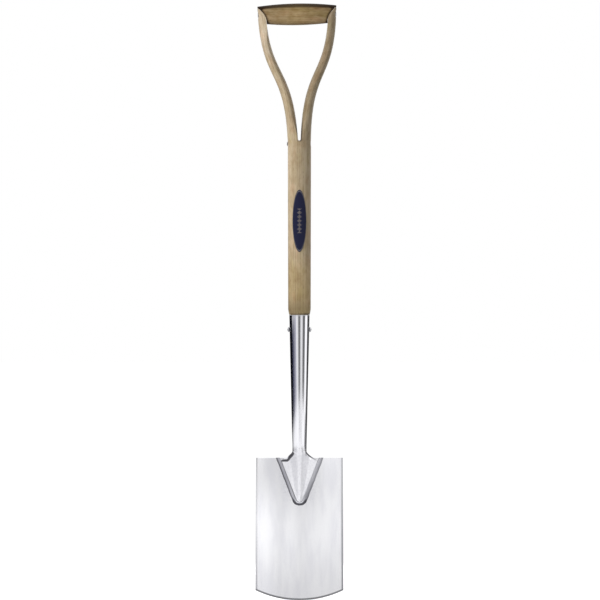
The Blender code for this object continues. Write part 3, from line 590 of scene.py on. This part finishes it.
def make_socket():
    """Rings from the bore's end up to the mouth, over its rim, and down the outside to the tip. Each outer
    ring is a circle that changes into the tail's flat back and ridged front below the neck."""
    around = 192
    turn = ring_angles(around)
    flat = math.cos(turn[0])
    rim = 0.4 * MM
    tube = np.concatenate([[MOUTH_Z - rim], np.linspace(MOUTH_Z - 1.5 * rim, CRANK_HIGH_Z, 60)[:-1]])
    crank = np.linspace(CRANK_HIGH_Z, NECK_Z, 24)[:-1]
    flare = np.linspace(NECK_Z, SHOULDER_Z, 60)
    sides = np.linspace(SHOULDER_Z, TIP_CENTRE_Z, 80)[1:]
    arc = TIP_CENTRE_Z - TAIL_INNER_RADIUS * np.sin(np.radians(np.linspace(2, 88, 30)))
    z = np.concatenate([tube, crank, flare, sides, arc])[:, None]
    half_width = outline_half_width(z)
    x = half_width * np.cos(turn) / flat
    round_y = -socket_radius(z) / flat * np.sin(turn)
    down = np.clip((NECK_Z - z) / (NECK_Z - SHOULDER_Z), 0.0, 1.0)
    front = mix(round_y, tail_front(x, z, half_width), smooth(down))
    back = mix(round_y, blade_front(x, z) - GAP, smooth((CRANK_HIGH_Z - z) / CRANK_LENGTH))
    y = np.where(np.sin(turn) > 0, front, back)
    outer = np.stack([x, y, np.broadcast_to(z, x.shape)], -1)
    bore_end, mouth = MOUTH_Z - SOCKET_BORE_DEPTH, socket_radius(MOUTH_Z)
    inner = [(socket_radius(bore_end) - SOCKET_WALL, bore_end), (mouth - SOCKET_WALL, MOUTH_Z - rim)]
    for start, way, angles in ((mouth - SOCKET_WALL, 1, (30, 60, 90)), (mouth, -1, (90, 60, 30))):
        for angle in np.radians(angles):
            inner.append((start + way * rim * (1 - math.cos(angle)), MOUTH_Z - rim + rim * math.sin(angle)))
    inner = np.array(inner)
    out, height = inner[:, :1], np.repeat(inner[:, 1:], around, 1)
    rings = np.concatenate([np.stack([out * np.cos(turn), -out * np.sin(turn), height], -1), outer])
    slope = np.gradient(half_width[:, 0], z[:, 0])[:, None]
    inset = (half_width - np.abs(x)) / np.sqrt(1 + slope**2)
    # Painted shade: dark lines beside the neck and right shoulder, beside the weld, below the mouth's rim
    # and at the tail's tip
    shoulder = smooth((z - SHOULDER_Z + 1.2 * MM) / (0.8 * MM)) * smooth((NECK_Z + 1 * MM - z) / (3 * MM))
    away = run_distance(-x, z - FOOT_Z, np.array(LEFT_NECK_SHADE) * MM)
    left = smooth(1.6 - 1.2 * away / mix(*LEFT_NECK_SHADE_WIDTHS, smooth(down * 1.4 - 0.4)))
    right = mix(1.5, 0.35, down) * shoulder * smooth((2 * RIGHT_SHOULDER_SHADE - inset) / RIGHT_SHOULDER_SHADE)
    away = run_distance(x, z - FOOT_Z, np.array(RIGHT_NECK_SHADE) * MM)
    right = np.maximum(right, 0.45 * smooth(1.6 - 1.2 * away / RIGHT_NECK_SHADE_WIDTH))
    painted_shade = np.where(x < 0, left, np.minimum(right, 1.0))
    beside_weld = smooth((SHOULDER_Z - z) / (2 * MM)) * smooth(1.5 - 1.5 * inset / RIGHT_SHOULDER_SHADE)
    painted_shade = np.maximum(painted_shade, np.where(x < 0, 0.5, 0.15) * beside_weld)
    painted_shade = np.maximum(painted_shade, 0.35 * smooth((z - MOUTH_Z + MOUTH_SHADE_HEIGHT) / (0.8 * MM)))
    at_tip = smooth((TAIL_TIP_Z + TAIL_TIP_SHADE_HEIGHT - z) / TAIL_TIP_SHADE_FADE) * smooth((x + 1 * MM) / (3 * MM))
    painted_shade = np.maximum(painted_shade, 0.3 * at_tip)
    traits = {"painted_shade": painted_shade, "satin": smooth((SATIN_TOP_Z - z) / SATIN_FADE) * np.ones_like(x)}
    traits = {name: np.pad(values, ((len(inner), 0), (0, 0))) for name, values in traits.items()}
    faces = tube_faces(len(rings), around)
    skin("socket_and_tail", rings, faces, SOCKET_STEEL, ["socket"], traits, 40)


def bead_line(side, radius, tip_radius):
    """One side of the V from its top to the middle of its tip: straight, then round a centre at a radius
    that changes smoothly to the tip's."""
    straight, bend = np.linspace(0, 1, 90)[:-1], np.linspace(0, 1, 40)
    low_z = TIP_CENTRE_Z - radius * math.sin(TAIL_SIDE_ANGLE)
    low_x = radius * math.cos(TAIL_SIDE_ANGLE)
    top_x = low_x + (FOOT_Z - low_z) * math.tan(TAIL_SIDE_ANGLE)
    angle = mix(TAIL_SIDE_ANGLE, math.pi / 2, bend)
    reach = mix(radius, tip_radius, smooth(bend))
    x = np.concatenate([mix(top_x, low_x, straight), reach * np.cos(angle)])
    z = np.concatenate([mix(FOOT_Z, low_z, straight), TIP_CENTRE_Z - reach * np.sin(angle)])
    return np.stack([side * x, z], -1)


def make_tail_weld():
    """A bead carried down one side of the V, round its tip and up the other. Its section runs from the
    tail's edge to the blade: height falls in a straight line, with a crown of four s (1 - s) and a rounded
    top corner. The toe wanders a little, by two sines of the run."""
    lines = []
    for radius, spreads in ((TAIL_INNER_RADIUS + GAP, {-1: 0, 0: 0, 1: 0}), (TAIL_TIP_RADIUS, TOE_SPREADS)):
        left, right = [bead_line(side, radius + spreads[side], radius + spreads[0]) for side in (-1, 1)]
        lines.append(np.concatenate([left, right[-2::-1]]))
    inner, outer = lines
    run = np.linspace(0, 1, len(inner))
    wander = 1 + TOE_WANDER / WELD_WIDTH * np.sin(71 * run) * np.sin(23 * run + 1)
    outer = inner + (outer - inner) * np.where(run * (1 - run) > 0, wander, 1)[:, None]
    s = np.concatenate([[0, 0], np.linspace(0, 1, 30) ** 1.2, [1]])
    height = mix(TAIL_EDGE_THICKNESS, WELD_TOE_THICKNESS, s) + 4 * WELD_CROWN * s * (1 - s)
    height -= edge_drop(s * WELD_WIDTH, WELD_INNER_ROUND)
    height[[0, 1, -1]] = 0.0, TAIL_EDGE_THICKNESS / 2, 0.0
    x, z = (mix(inner[:, None, i], outer[:, None, i], s) for i in (0, 1))
    rings = np.stack([x, blade_front(x, z) - GAP - height, z], -1)
    faces = tube_faces(len(rings), len(s))
    # Painted shade: a dark line along the toe and round the tip, a dark inner line on the left, and on the
    # right shade that deepens towards the toe
    up = np.clip((z - TAIL_TIP_Z) / (FOOT_Z - TAIL_TIP_Z), 0.0, 1.0)
    at_tip = smooth(1 - (z - TAIL_TIP_Z) / TIP_SHADE_HEIGHT)
    toe = smooth((s - mix(0.58, 0.24, at_tip)) / 0.2) * mix(0.68, 0.88, at_tip)
    left = np.maximum(toe, mix(0.75, 0.3, smooth(up / 0.7)) * (1 - at_tip) * smooth(1 - s / 0.3))
    high = smooth(up * 1.6)
    shaded = mix(0.45, 0.05, high) * smooth(s / 0.2) + 0.42 * mix(0.4, 1.0, high) * smooth((s - 0.45) / 0.5)
    right = np.maximum(shaded, 0.6 * smooth((up - 0.9) / 0.06) * smooth(1 - s / 0.3))
    painted_shade = np.where(x < 0, left, mix(right, toe, at_tip))
    traits = {"painted_shade": painted_shade, "satin": np.ones_like(x)}
    skin("weld_bead", rings, faces, WELD_STEEL, ["tail_weld"], traits)


# Shaft


def stem_radius(z):
    """Radius of the stem: a straight swell to the split, drawn in at its foot by a quarter sine."""
    swell = mix(STEM_LOW_RADIUS, STEM_HIGH_RADIUS, (z - MOUTH_Z) / STEM_LENGTH)
    start = np.clip((z - MOUTH_Z) / MOUTH_TAPER_LENGTH, 0.0, 1.0)
    return mix(SOCKET_MOUTH_RADIUS, swell, np.sin(math.pi / 2 * start))


def arm_centre():
    """The arm's centre line: one cubic curve from the split to the tip, as x, z and length along it."""
    t = np.linspace(0, 1, 400)[:, None]
    root = np.array([(STEM_HIGH_RADIUS + SLOT_HALF_WIDTH) / 2, SPLIT_Z])
    tip = np.array([ARM_TOP_HALF_SPREAD, TIP_Z])
    low = root + ARM_LOW_PULL * np.array([ARM_LOW_SLOPE, 1.0])
    high = tip - ARM_HIGH_PULL * np.array([ARM_HIGH_SLOPE, 1.0])
    line = (1 - t) ** 3 * root + 3 * (1 - t) ** 2 * t * low + 3 * (1 - t) * t**2 * high + t**3 * tip
    length = np.concatenate([[0], np.cumsum(np.hypot(*np.diff(line, axis=0).T))])
    return line[:, 0], line[:, 1], length


ARM_X, ARM_Z, ARM_RUN = arm_centre()


def arm_sides(z):
    """X of an arm's sides: half its thickness either way, with the inner side scarfed to the tip."""
    x = np.interp(z, ARM_Z, ARM_X)
    slope = np.interp(z, ARM_Z, np.gradient(ARM_X, ARM_Z))
    up = (z - SPLIT_Z) / FORK_HEIGHT
    thickness = mix(STEM_HIGH_RADIUS - SLOT_HALF_WIDTH, ARM_TOP_THICKNESS, up) * np.sqrt(1 + slope**2)
    scarf = np.clip((z - TIP_Z + SCARF_LENGTH) / SCARF_LENGTH, 0.0, 1.0) ** 2
    return x - thickness / 2 + thickness * scarf, x + thickness / 2


def arm_half_depth(z):
    """Half an arm from front to back: the stem's at the split, then that of the grip's end."""
    low = mix(STEM_HIGH_RADIUS, GRIP_END_RADIUS, smooth((z - SPLIT_Z) / ARM_DEPTH_RUN))
    high = np.sqrt(np.maximum(GRIP_END_RADIUS**2 - (z - GRIP_Z) ** 2, 0.0))
    return np.where(z > GRIP_Z, high, low)


def arm_rings(steps):
    """Rings of the right arm: half of the stem's circle at the split, an oval higher up, and flat at the
    grip. An outer half by sine to a power, then an inner half the same way, both from back to front."""
    flat_from = GRIP_Z - GRIP_END_RADIUS - GAP
    root = SPLIT_Z + SLOT_HALF_WIDTH * (1 - np.cos(np.radians(np.linspace(0, 90, 14))))
    bend = np.linspace(SPLIT_Z + SLOT_HALF_WIDTH, flat_from, 150)[1:]
    scarf = np.linspace(flat_from, TIP_Z - ARM_TIP_FLAT, 60)[1:]
    z = np.concatenate([root, bend, scarf])[:, None]
    inner, outer = arm_sides(z)
    rise = z - SPLIT_Z
    in_root = rise < SLOT_HALF_WIDTH
    round_root = np.sqrt(np.maximum(SLOT_HALF_WIDTH**2 - (SLOT_HALF_WIDTH - rise) ** 2, 0.0))
    inner = np.where(in_root, round_root, inner)
    outer = np.where(in_root, STEM_HIGH_RADIUS, outer)
    rounding = smooth((rise - SLOT_HALF_WIDTH) / ARM_ROUNDING_RUN)
    rounding = rounding * smooth((flat_from - z) / ARM_ROUNDING_RUN)
    turn = math.pi * np.arange(steps + 1) / steps
    bulge = np.sin(turn) ** (2 / mix(2.0, ARM_SECTION_POWER, rounding))
    y = -arm_half_depth(z) * np.cos(turn)
    outer_x = outer - (outer - inner) * (1 - rounding / 2) * (1 - bulge)
    inner_x = inner + (outer - inner) * rounding / 2 * (1 - bulge)
    x = np.concatenate([outer_x, inner_x[:, -2:0:-1]], 1)
    y = np.concatenate([y, y[:, -2:0:-1]], 1)
    return np.stack([x, y, np.broadcast_to(z, x.shape)], -1)


def arm_grain(rings):
    """Places in the log before the bend: across, front to back, and the run along the centre line."""
    z = rings[..., 2]
    slope = np.interp(z, ARM_Z, np.gradient(ARM_X, ARM_Z))
    across = (rings[..., 0] - np.interp(z, ARM_Z, ARM_X)) / np.sqrt(1 + slope**2)
    return np.stack([across + ARM_X[0], rings[..., 1], SPLIT_Z + np.interp(z, ARM_Z, ARM_RUN)], -1)


def stem_heart(across):
    """Share of heartwood round the stem, from none on its left to half from its middle rightwards."""
    return 0.88 * smooth(0.75 * (across + 1)) - 0.9


def make_shaft():
    """Rings of the foot, mouth and stem, each radius by its formula, then each arm's. The lowest rings of
    the arms are the two halves of the stem's last ring, and share its points."""
    around = 112
    turn = ring_angles(around, 0) - math.pi / 2
    foot_z = MOUTH_Z - SOCKET_BORE_DEPTH + GAP
    foot_levels = np.array([foot_z, foot_z + 1.5 * MM, MOUTH_Z + GAP])
    foot_radius = socket_radius(foot_levels) - SOCKET_WALL - FOOT_FIT - np.array([1.5 * MM, 0, 0])
    mouth = MOUTH_Z + GAP + MOUTH_TAPER_LENGTH * np.linspace(0, 1, 24)
    stem = np.linspace(mouth[-1], SPLIT_Z, 90)[1:]
    z = np.concatenate([foot_levels, mouth, stem])
    radius = np.concatenate([foot_radius, stem_radius(mouth), stem_radius(stem)])
    x, y = radius[:, None] * np.cos(turn), radius[:, None] * np.sin(turn)
    rings = np.stack([x, y, np.repeat(z[:, None], around, 1)], -1)
    over_mouth = rings[..., 2] - MOUTH_Z
    low = smooth(1.6 - over_mouth / AGED_RUN)
    foot = smooth(1.3 - over_mouth / OILED_RUN)
    heart = mix(stem_heart(np.cos(turn)), -0.9, 0.9 * low)
    oily = 0.24 * low * smooth(0.75 - np.cos(turn)) + 0.25 * foot
    # Painted shade: a dark line on the stem at the socket's mouth, and at the foot of the fork's slot
    mouth_shade_line = 0.6 * smooth((MOUTH_LINE_HEIGHT - over_mouth) / MOUTH_LINE_FADE)
    slot_foot_shade = 0.8 * smooth(1 - (SPLIT_Z - rings[..., 2]) / SLOT_FOOT_HEIGHT)
    slot_foot_shade = slot_foot_shade * smooth(1.8 - np.abs(rings[..., 0]) / SLOT_SHADE_WIDTH)
    bodies = [(rings, rings, heart, low, np.maximum.reduce([oily, mouth_shade_line, slot_foot_shade]), 0 * low)]
    faces = grid_faces(len(rings), around) + [list(range(around))[::-1]]
    arm = arm_rings(around // 2)
    rise = arm[..., 2] - SPLIT_Z
    inner, outer = arm_sides(arm[..., 2])
    from_inner, from_outer = arm[..., 0] - inner, outer - arm[..., 0]
    joint = smooth((arm[..., 2] - TIP_Z + JOINT_STAIN_HEIGHT) / JOINT_STAIN_FADE)
    joint = joint * smooth(1 - from_outer / JOINT_STAIN_WIDTH)
    # Painted shade on the arms' inner faces beside the fork's slot
    beside_slot_shade = smooth(1.6 - from_inner / SLOT_SHADE_WIDTH) * smooth(1.4 - rise / SLOT_SHADE_RUN)
    handled = smooth(1.4 - from_outer / HANDLED_WIDTH) * smooth(rise / HANDLED_FROM)
    pale = smooth((rise - SAPWOOD_FROM) / SAPWOOD_FADE)
    right_bent = 0.8 - smooth((rise - 125 * MM) / (70 * MM))
    left_bent = -0.35 - 0.45 * smooth((rise - 95 * MM) / (45 * MM))
    arms = ((1, right_bent, 0.7, 0.0, 0.0), (-1, left_bent, 0.35, 0.22, 1.0))
    for side, bent, slot_shade_share, handled_share, pale_share in arms:
        start = sum(body[0].size // 3 for body in bodies)
        faces += [face[::side] for face in grid_faces(len(arm), around, start)]
        end = start + len(arm) * around
        faces.append(list(range(end - around, end))[::side])
        own = arm_grain(arm) * (side, 1, 1)
        on_stem = own[..., 0] / STEM_HIGH_RADIUS
        heart = mix(stem_heart(on_stem), 0.15 * on_stem + bent, smooth(rise / (60 * MM)))
        marks = np.maximum.reduce([0.5 * joint, slot_shade_share * beside_slot_shade, handled_share * handled])
        bodies.append((arm * (side, 1, 1), own, heart, 0 * rise, marks, pale_share * pale))
    names = ("points", "grain", "heart", "aged", "soil_and_shade", "sapwood")
    traits = {name: np.concatenate(values) for name, values in zip(names, zip(*bodies))}
    run = (ARM_OUTER_X / 2, ARM_OUTER_X - GRIP_BURR_INSET, 2 * ARM_OUTER_X)
    bores = [
        make_bore(name, side, *run, ROD_RADIUS, GRIP_BURR_RADIUS, GRIP_Z)
        for side, name in ((-1, "left_bore"), (1, "right_bore"))
    ]
    run = (-2 * STEM_HIGH_RADIUS, STEM_HIGH_RADIUS - FORK_BURR_INSET, 2 * STEM_HIGH_RADIUS)
    bores.append(make_bore("fork_bore", 1, *run, FORK_RIVET_RADIUS, FORK_BURR_RADIUS, FORK_RIVET_Z))
    points = leaned(traits.pop("points"))
    skin("ash_shaft", points, faces, WAXED_ASH, ["shaft"], traits, 30, bores)


# Grip


def make_grip():
    """Rings from end to end of a barrel, whose radius falls from its middle by a parabola. Its ends follow
    the arms' scarfed sides, so an end's x depends on height alone, and runs to full length above the arms'
    tips."""
    around, rows = 112, 141
    turn = ring_angles(around) + math.pi / 2
    up = np.sin(turn)
    level = GRIP_Z + GRIP_END_RADIUS * up
    step = 0.2 * MM
    inner = arm_sides(level)[0]
    slope = (inner - arm_sides(level - step)[0]) / step
    beside_arm = np.minimum(inner - GAP * np.sqrt(1 + slope**2), ARM_OUTER_X)
    end = np.where(level > TIP_Z, ARM_OUTER_X, beside_arm)
    share = np.linspace(-1, 1, rows)[:, None]
    x = share * end
    middle = GRIP_MIDDLE_RADIUS - FACET_ALLOWANCE
    radius = middle - (middle - GRIP_END_RADIUS) * (x / ARM_OUTER_X) ** 2
    y, z = radius * np.cos(turn), GRIP_Z + radius * up
    rings = np.stack([x, y, z], -1)
    faces = grid_faces(rows, around)
    for start, way in ((0, -1), ((rows - 1) * around, 1)):
        low = start + np.arange(around // 2 - 1)
        high = start + around - 1 - np.arange(around // 2 - 1)
        faces += [face[::way] for face in np.stack([low, low + 1, high - 1, high], -1).tolist()]
    grain = np.stack([z - GRIP_Z + GRIP_LOG_SHIFT, y, x], -1)
    out = np.abs(x) / ARM_OUTER_X
    near_end = smooth(1 - (end - np.abs(x)) / GRIP_END_STAIN)
    # Painted shade: darker over the grip's top and underside, where its round turns away from the light
    upper = smooth((up - 0.48) / 0.26) * (0.7 + 0.2 * out)
    under = smooth((-up - 0.6) / 0.4)
    corner = smooth((up - 0.3) / 0.4) * smooth(1 - (ARM_OUTER_X - np.abs(x)) / GRIP_CORNER_STAIN)
    soil_and_shade = np.clip(0.75 * near_end + upper + 0.4 * under + 0.7 * corner, 0.0, 0.97)
    traits = {"grain": grain, "heart": 1.3 * out + 0.2 * x / ARM_OUTER_X - 0.5, "soil_and_shade": soil_and_shade}
    skin("turned_grip", leaned(rings), faces, OILED_GRIP, ["cross_grip"], traits)


# Fasteners


def rivet_end(side, base_x, shank, head, height):
    """Profile from a shank to a head's rim and over its dome, by a quarter turn's sine and cosine."""
    rim = HEAD_RIM_SHARE * height
    points = [(side * base_x, shank), (side * base_x, head)]
    for angle in np.radians(np.linspace(0, 88, 12)):
        points.append((side * (base_x + rim + (height - rim) * math.sin(angle)), head * math.cos(angle)))
    return points


def make_rivet(name, node, left, right, height):
    """A rivet with a head at each end, with painted shade where the heads meet what they hold."""
    rings, faces = turned(rivet_end(-1, *left)[::-1] + rivet_end(1, *right), height)
    beyond = np.where(rings[..., 0] < 0, -rings[..., 0] - left[0], rings[..., 0] - right[0])
    painted_shade = 0.85 * smooth(1 - beyond / (0.7 * max(left[3], right[3])))
    skin(name, leaned(rings), faces, RIVET_STEEL, [node], {"painted_shade": painted_shade})


def make_washer(name, node, side, seat, outer, bore, thickness, height):
    """A flat ring turned about X, with its outer corners eased."""
    near, far, ease = seat + GAP, seat + GAP + thickness, 0.25 * MM
    profile = [(near, bore), (near, outer - ease), (near + ease, outer)]
    profile += [(far - ease, outer), (far, outer - ease), (far, bore)]
    rings, faces = turned(profile, height, side)
    count = rings.shape[1]
    last = (len(profile) - 1) * count
    faces = faces[:-2] + [[last + i, last + (i + 1) % count, (i + 1) % count, i] for i in range(count)]
    skin(name, leaned(rings), faces, RIVET_STEEL, [node])


def make_fasteners():
    seat = ARM_OUTER_X - GRIP_BURR_INSET
    for side, name in ((-1, "left"), (1, "right")):
        sizes = (GRIP_BURR_RADIUS, ROD_RADIUS + RIVET_FIT, GRIP_BURR_THICKNESS)
        make_washer("washer_" + name, "grip_burr_" + name, side, seat, *sizes, GRIP_Z)
    end = (seat + 2 * GAP + GRIP_BURR_THICKNESS, ROD_RADIUS, ROD_HEAD_RADIUS, ROD_HEAD_HEIGHT)
    make_rivet("peened_rod", "grip_rod", end, end, GRIP_Z)
    end = (float(socket_radius(SOCKET_RIVET_Z)) + GAP, RIVET_RADIUS, RIVET_HEAD_RADIUS, RIVET_HEAD_HEIGHT)
    make_rivet("socket_pin", "socket_rivet", end, end, SOCKET_RIVET_Z)
    seat = STEM_HIGH_RADIUS - FORK_BURR_INSET
    sizes = (FORK_BURR_RADIUS, FORK_RIVET_RADIUS + RIVET_FIT, FORK_BURR_THICKNESS)
    make_washer("fork_washer", "fork_rivet_burr", 1, seat, *sizes, FORK_RIVET_Z)
    left = (STEM_HIGH_RADIUS + GAP, FORK_RIVET_RADIUS, FORK_RIVET_HEAD_RADIUS, FORK_RIVET_HEAD_HEIGHT)
    out = seat + 2 * GAP + FORK_BURR_THICKNESS
    right = (out, FORK_RIVET_RADIUS, FORK_RIVET_HEAD_RADIUS, FORK_RIVET_TAIL_HEIGHT)
    make_rivet("fork_pin", "fork_rivet", left, right, FORK_RIVET_Z)


# Label


def make_label():
    """Rings of one centre on the stem's front: x and height from an ellipse, depth from the stem's circle,
    on the back sheet outwards and then on the face inwards."""
    around, rows = 160, 40
    turn = ring_angles(around, 0)
    share = np.linspace(0.001, 1, rows)
    share = np.concatenate([share, share[::-1]])[:, None]
    offset = np.repeat([GAP, GAP + LABEL_THICKNESS], rows)[:, None]
    across = share * LABEL_CHORD / 2 * np.cos(turn)
    along = share * LABEL_LENGTH / 2 * np.sin(turn)
    radius = stem_radius(LABEL_Z + along)
    x = across * (1 + offset / radius)
    y = -np.sqrt(radius**2 - across**2) * (1 + offset / radius)
    rings = np.stack([x, y, LABEL_Z + along], -1)
    faces = tube_faces(2 * rows, around)
    traits = {"print": np.stack(np.broadcast_arrays(across, along, share), -1)}
    skin("foil_oval", rings, faces, FOIL, ["oval_label"], traits)


make_blade()
make_socket()
make_tail_weld()
make_shaft()
make_grip()
make_fasteners()
make_label()


# Studio


PHOTO_SIDE = 600
MM_PER_PIXEL = 1.595
CAMERA_X = 0.9 * MM
CAMERA_Z = (599.6 - PHOTO_SIDE / 2) * MM_PER_PIXEL * MM
LENS, SENSOR = 600.0, 36.0


def make_camera():
    """A very long lens at the middle's height, as far back as makes the photograph's width."""
    camera = bpy.data.cameras.new("camera")
    camera.lens, camera.sensor_width = LENS, SENSOR
    camera.clip_end = 100
    distance = PHOTO_SIDE * MM_PER_PIXEL * MM * LENS / SENSOR
    seat = add_object("camera", camera)
    seat.location = (CAMERA_X, AXIS_Y - distance, CAMERA_Z)
    seat.rotation_euler = (math.pi / 2, 0, 0)
    bpy.context.scene.camera = seat


def white_to_lens(tree, dim, bright):
    """Strength that is bright where the lens looks, mirrored or through glass too, and dim as a light."""
    path = add_node(tree, "LightPath", {}).node.outputs
    seen = add_node(tree, "Math", [path["Is Camera Ray"], path["Is Glossy Ray"]], operation="MAXIMUM")
    seen = add_node(tree, "Math", [seen, path["Is Transmission Ray"]], operation="MAXIMUM")
    return add_node(tree, "Math", [seen, bright - dim, dim], operation="MULTIPLY_ADD")


def make_world(ambient):
    world = bpy.data.worlds.new("studio")
    bpy.context.scene.world = world
    world.use_nodes = True
    strength = white_to_lens(world.node_tree, ambient, 1.0)
    give(world.node_tree.nodes["Background"], {"Color": (1, 1, 1, 1), "Strength": strength})


def make_floor(glow):
    """A pale matt sheet that takes the spade's shadow. The lens sees it lifted to the backdrop's white."""
    half = 60.0
    corners = [(-half, -half, 0), (half, -half, 0), (half, half, 0), (-half, half, 0)]
    floor = add_surface("floor", corners, [(0, 1, 2, 3)])
    made, tree, shader = new_finish("pale_floor")
    glowing = {"Emission Color": (1, 1, 1, 1), "Emission Strength": white_to_lens(tree, 0.0, glow)}
    give(shader, {"Base Color": paint("#E8E8E8"), "Roughness": 0.9, "Specular IOR Level": 0.0} | glowing)
    floor.data.materials.append(made)


def make_lamp(name, place, aim, width, height, power):
    """A soft box that faces the point it is aimed at, and doesn't show in the steel."""
    light = bpy.data.lights.new(name, "AREA")
    light.shape = "RECTANGLE"
    light.size, light.size_y = width, height
    light.energy = power
    lamp = add_object(name, light)
    lamp.location = place
    x, y, z = np.array(place) - np.array(aim)
    lamp.rotation_euler = (math.atan2(np.hypot(x, y), z), 0, math.atan2(x, -y))
    lamp.visible_glossy = False


def between(value, low, high, blur):
    """1 from low to high, falling smoothly to 0 over the blur at each end."""
    return smooth((value - low) / blur + 0.5) * smooth((high - value) / blur + 0.5)


def make_cards(name, radius, height, cards):
    """Studio cards about the spade, which only glossy surfaces see, on a round wall where the height has two
    ends or on a flat ring where the radius has. Each card is the angles it spans from the lens direction,
    positive to the right, its heights or radii, its brightness, the blur of both spans, and a tint where it
    has one. Elsewhere the backdrop shows."""
    columns, rows = 361, 61
    angle = np.linspace(-180, 180, columns)[None, :]
    radius, height = (np.linspace(*np.broadcast_to(ends, 2), rows)[:, None] for ends in (radius, height))
    along = height if np.ptp(height) else radius
    level = np.ones((rows, columns, 3))
    cover = np.zeros((rows, columns))
    for start, end, near, far, brightness, angle_blur, blur, *tint in cards:
        share = between(angle, start, end, angle_blur) * between(along, near, far, blur)
        level = mix(level, brightness * np.array(tint or 1.0), share[..., None])
        cover = np.maximum(cover, share)
    turn = np.radians(angle)
    places = np.stack([radius * np.sin(turn), -radius * np.cos(turn), height + 0 * turn], -1)
    wall = add_surface(name, places, grid_faces(rows, columns, around=False))
    set_trait(wall.data, "level", level)
    set_trait(wall.data, "cover", cover)
    made, tree, shader, shown, share = new_finish(name, "level", "cover")
    tree.nodes.remove(shader)
    lit = add_node(tree, "Emission", {"Color": shown})
    clear = add_node(tree, "BsdfTransparent", {})
    give(tree.nodes["Material Output"], {"Surface": add_node(tree, "MixShader", [share, clear, lit])})
    wall.data.materials.append(made)
    for ray in ("camera", "diffuse", "transmission", "volume_scatter", "shadow"):
        setattr(wall, "visible_" + ray, False)


COOL, NAVY = (0.95, 0.95, 1.12), (0.8, 0.85, 1.45)
SOCKET_CARDS = [
    (-190, -76, 0.185, 0.60, 0.006, 14, 0.06, NAVY),
    (-92, -60, 0.19, 0.43, 0.09, 16, 0.04, NAVY),
    (-74, -44, 0.20, 0.43, 0.21, 14, 0.03, COOL),
    (-58, -37, 0.20, 0.43, 0.40, 12, 0.03, COOL),
    (-95, -37, 0.378, 0.60, 0.82, 10, 0.02),
    (-36, -16, 0.203, 0.60, 0.78, 8, 0.03),
    (-17, 15, 0.203, 0.45, 0.17, 12, 0.03),
    (15, 36, 0.203, 0.60, 0.78, 8, 0.03),
    (36, 71, 0.213, 0.49, 0.15, 12, 0.03),
    (-12, 38, 0.135, 0.19, 0.74, 14, 0.03),
    (103, 190, -0.1, 0.60, 0.06, 12, 0.06),
    (84, 190, -0.1, 0.215, 0.16, 12, 0.04),
    (-190, -95, -0.1, 0.18, 0.38, 14, 0.045),
]
BLADE_CARDS = [
    (-70, 70, 0.56, 1.4, 1.09, 10, 0.1),
    (-3, 1, 0.56, 0.85, 0.95, 3, 0.06),
    (2.5, 6, 0.74, 0.845, 1.2, 3, 0.04),
    (6, 9, 0.79, 0.86, 0.97, 4, 0.04),
    (11, 60, 0.70, 0.87, 1.3, 6, 0.04),
    (-70, 12, 0.48, 0.74, 0.735, 6, 0.12),
    (12, 70, 0.48, 0.735, 0.85, 6, 0.12),
    (-70, 2, 0.845, 0.91, 0.84, 6, 0.04),
    (-70, -11, 0.85, 0.89, 0.82, 5, 0.04),
    (2, 14, 0.86, 1.4, 0.74, 6, 0.04),
    (12, 70, 0.866, 0.92, 0.48, 5, 0.03),
    (-9, 9, 0.84, 1.4, 0.73, 4, 0.03),
]
WELD_CARDS = [
    (-80, -30, 0.05, 0.18, 0.66, 10, 0.02),
    (30, 80, 0.05, 0.18, 0.5, 10, 0.02),
]
FLOOR_CARDS = [
    (34, 190, -1, 3, 0.80, 24, 0.2),
    (-190, -34, -1, 3, 0.80, 24, 0.2),
    (-190, 190, -1, 0.20, 0.80, 30, 0.16),
    (60, 190, -1, 0.33, 0.62, 40, 0.4),
    (-190, -60, -1, 0.33, 0.62, 40, 0.4),
    (-158, -136, 0.42, 3, 0.20, 16, 0.25, COOL),
    (-104, -92, 0.42, 3, 0.30, 14, 0.25),
    (-54, -40, 0.6, 3, 0.30, 14, 0.35),
    (40, 54, 0.6, 3, 0.25, 14, 0.35, COOL),
    (88, 108, 0.42, 3, 0.30, 14, 0.25),
    (146, 164, 0.42, 3, 0.25, 16, 0.25),
]

make_camera()
make_world(ambient=0.40)
make_floor(glow=0.76)
make_lamp("key", (-1.45, -1.3, 1.15), (0, 0, 0.6), width=0.9, height=1.2, power=25.6)
make_lamp("fill", (0.6, 1.9, 1.0), (0, 0, 0.6), width=1.2, height=1.2, power=14)
make_cards("socket_cards", 2.0, (0.0, 0.6), SOCKET_CARDS)
make_cards("blade_cards", 2.05, (0.4, 1.5), BLADE_CARDS)
make_cards("weld_cards", 1.0, (0.0, 0.25), WELD_CARDS)
make_cards("floor_cards", (0.0005, 1.95), 0.001, FLOOR_CARDS)

bpy.context.scene.view_settings.view_transform = "Standard"
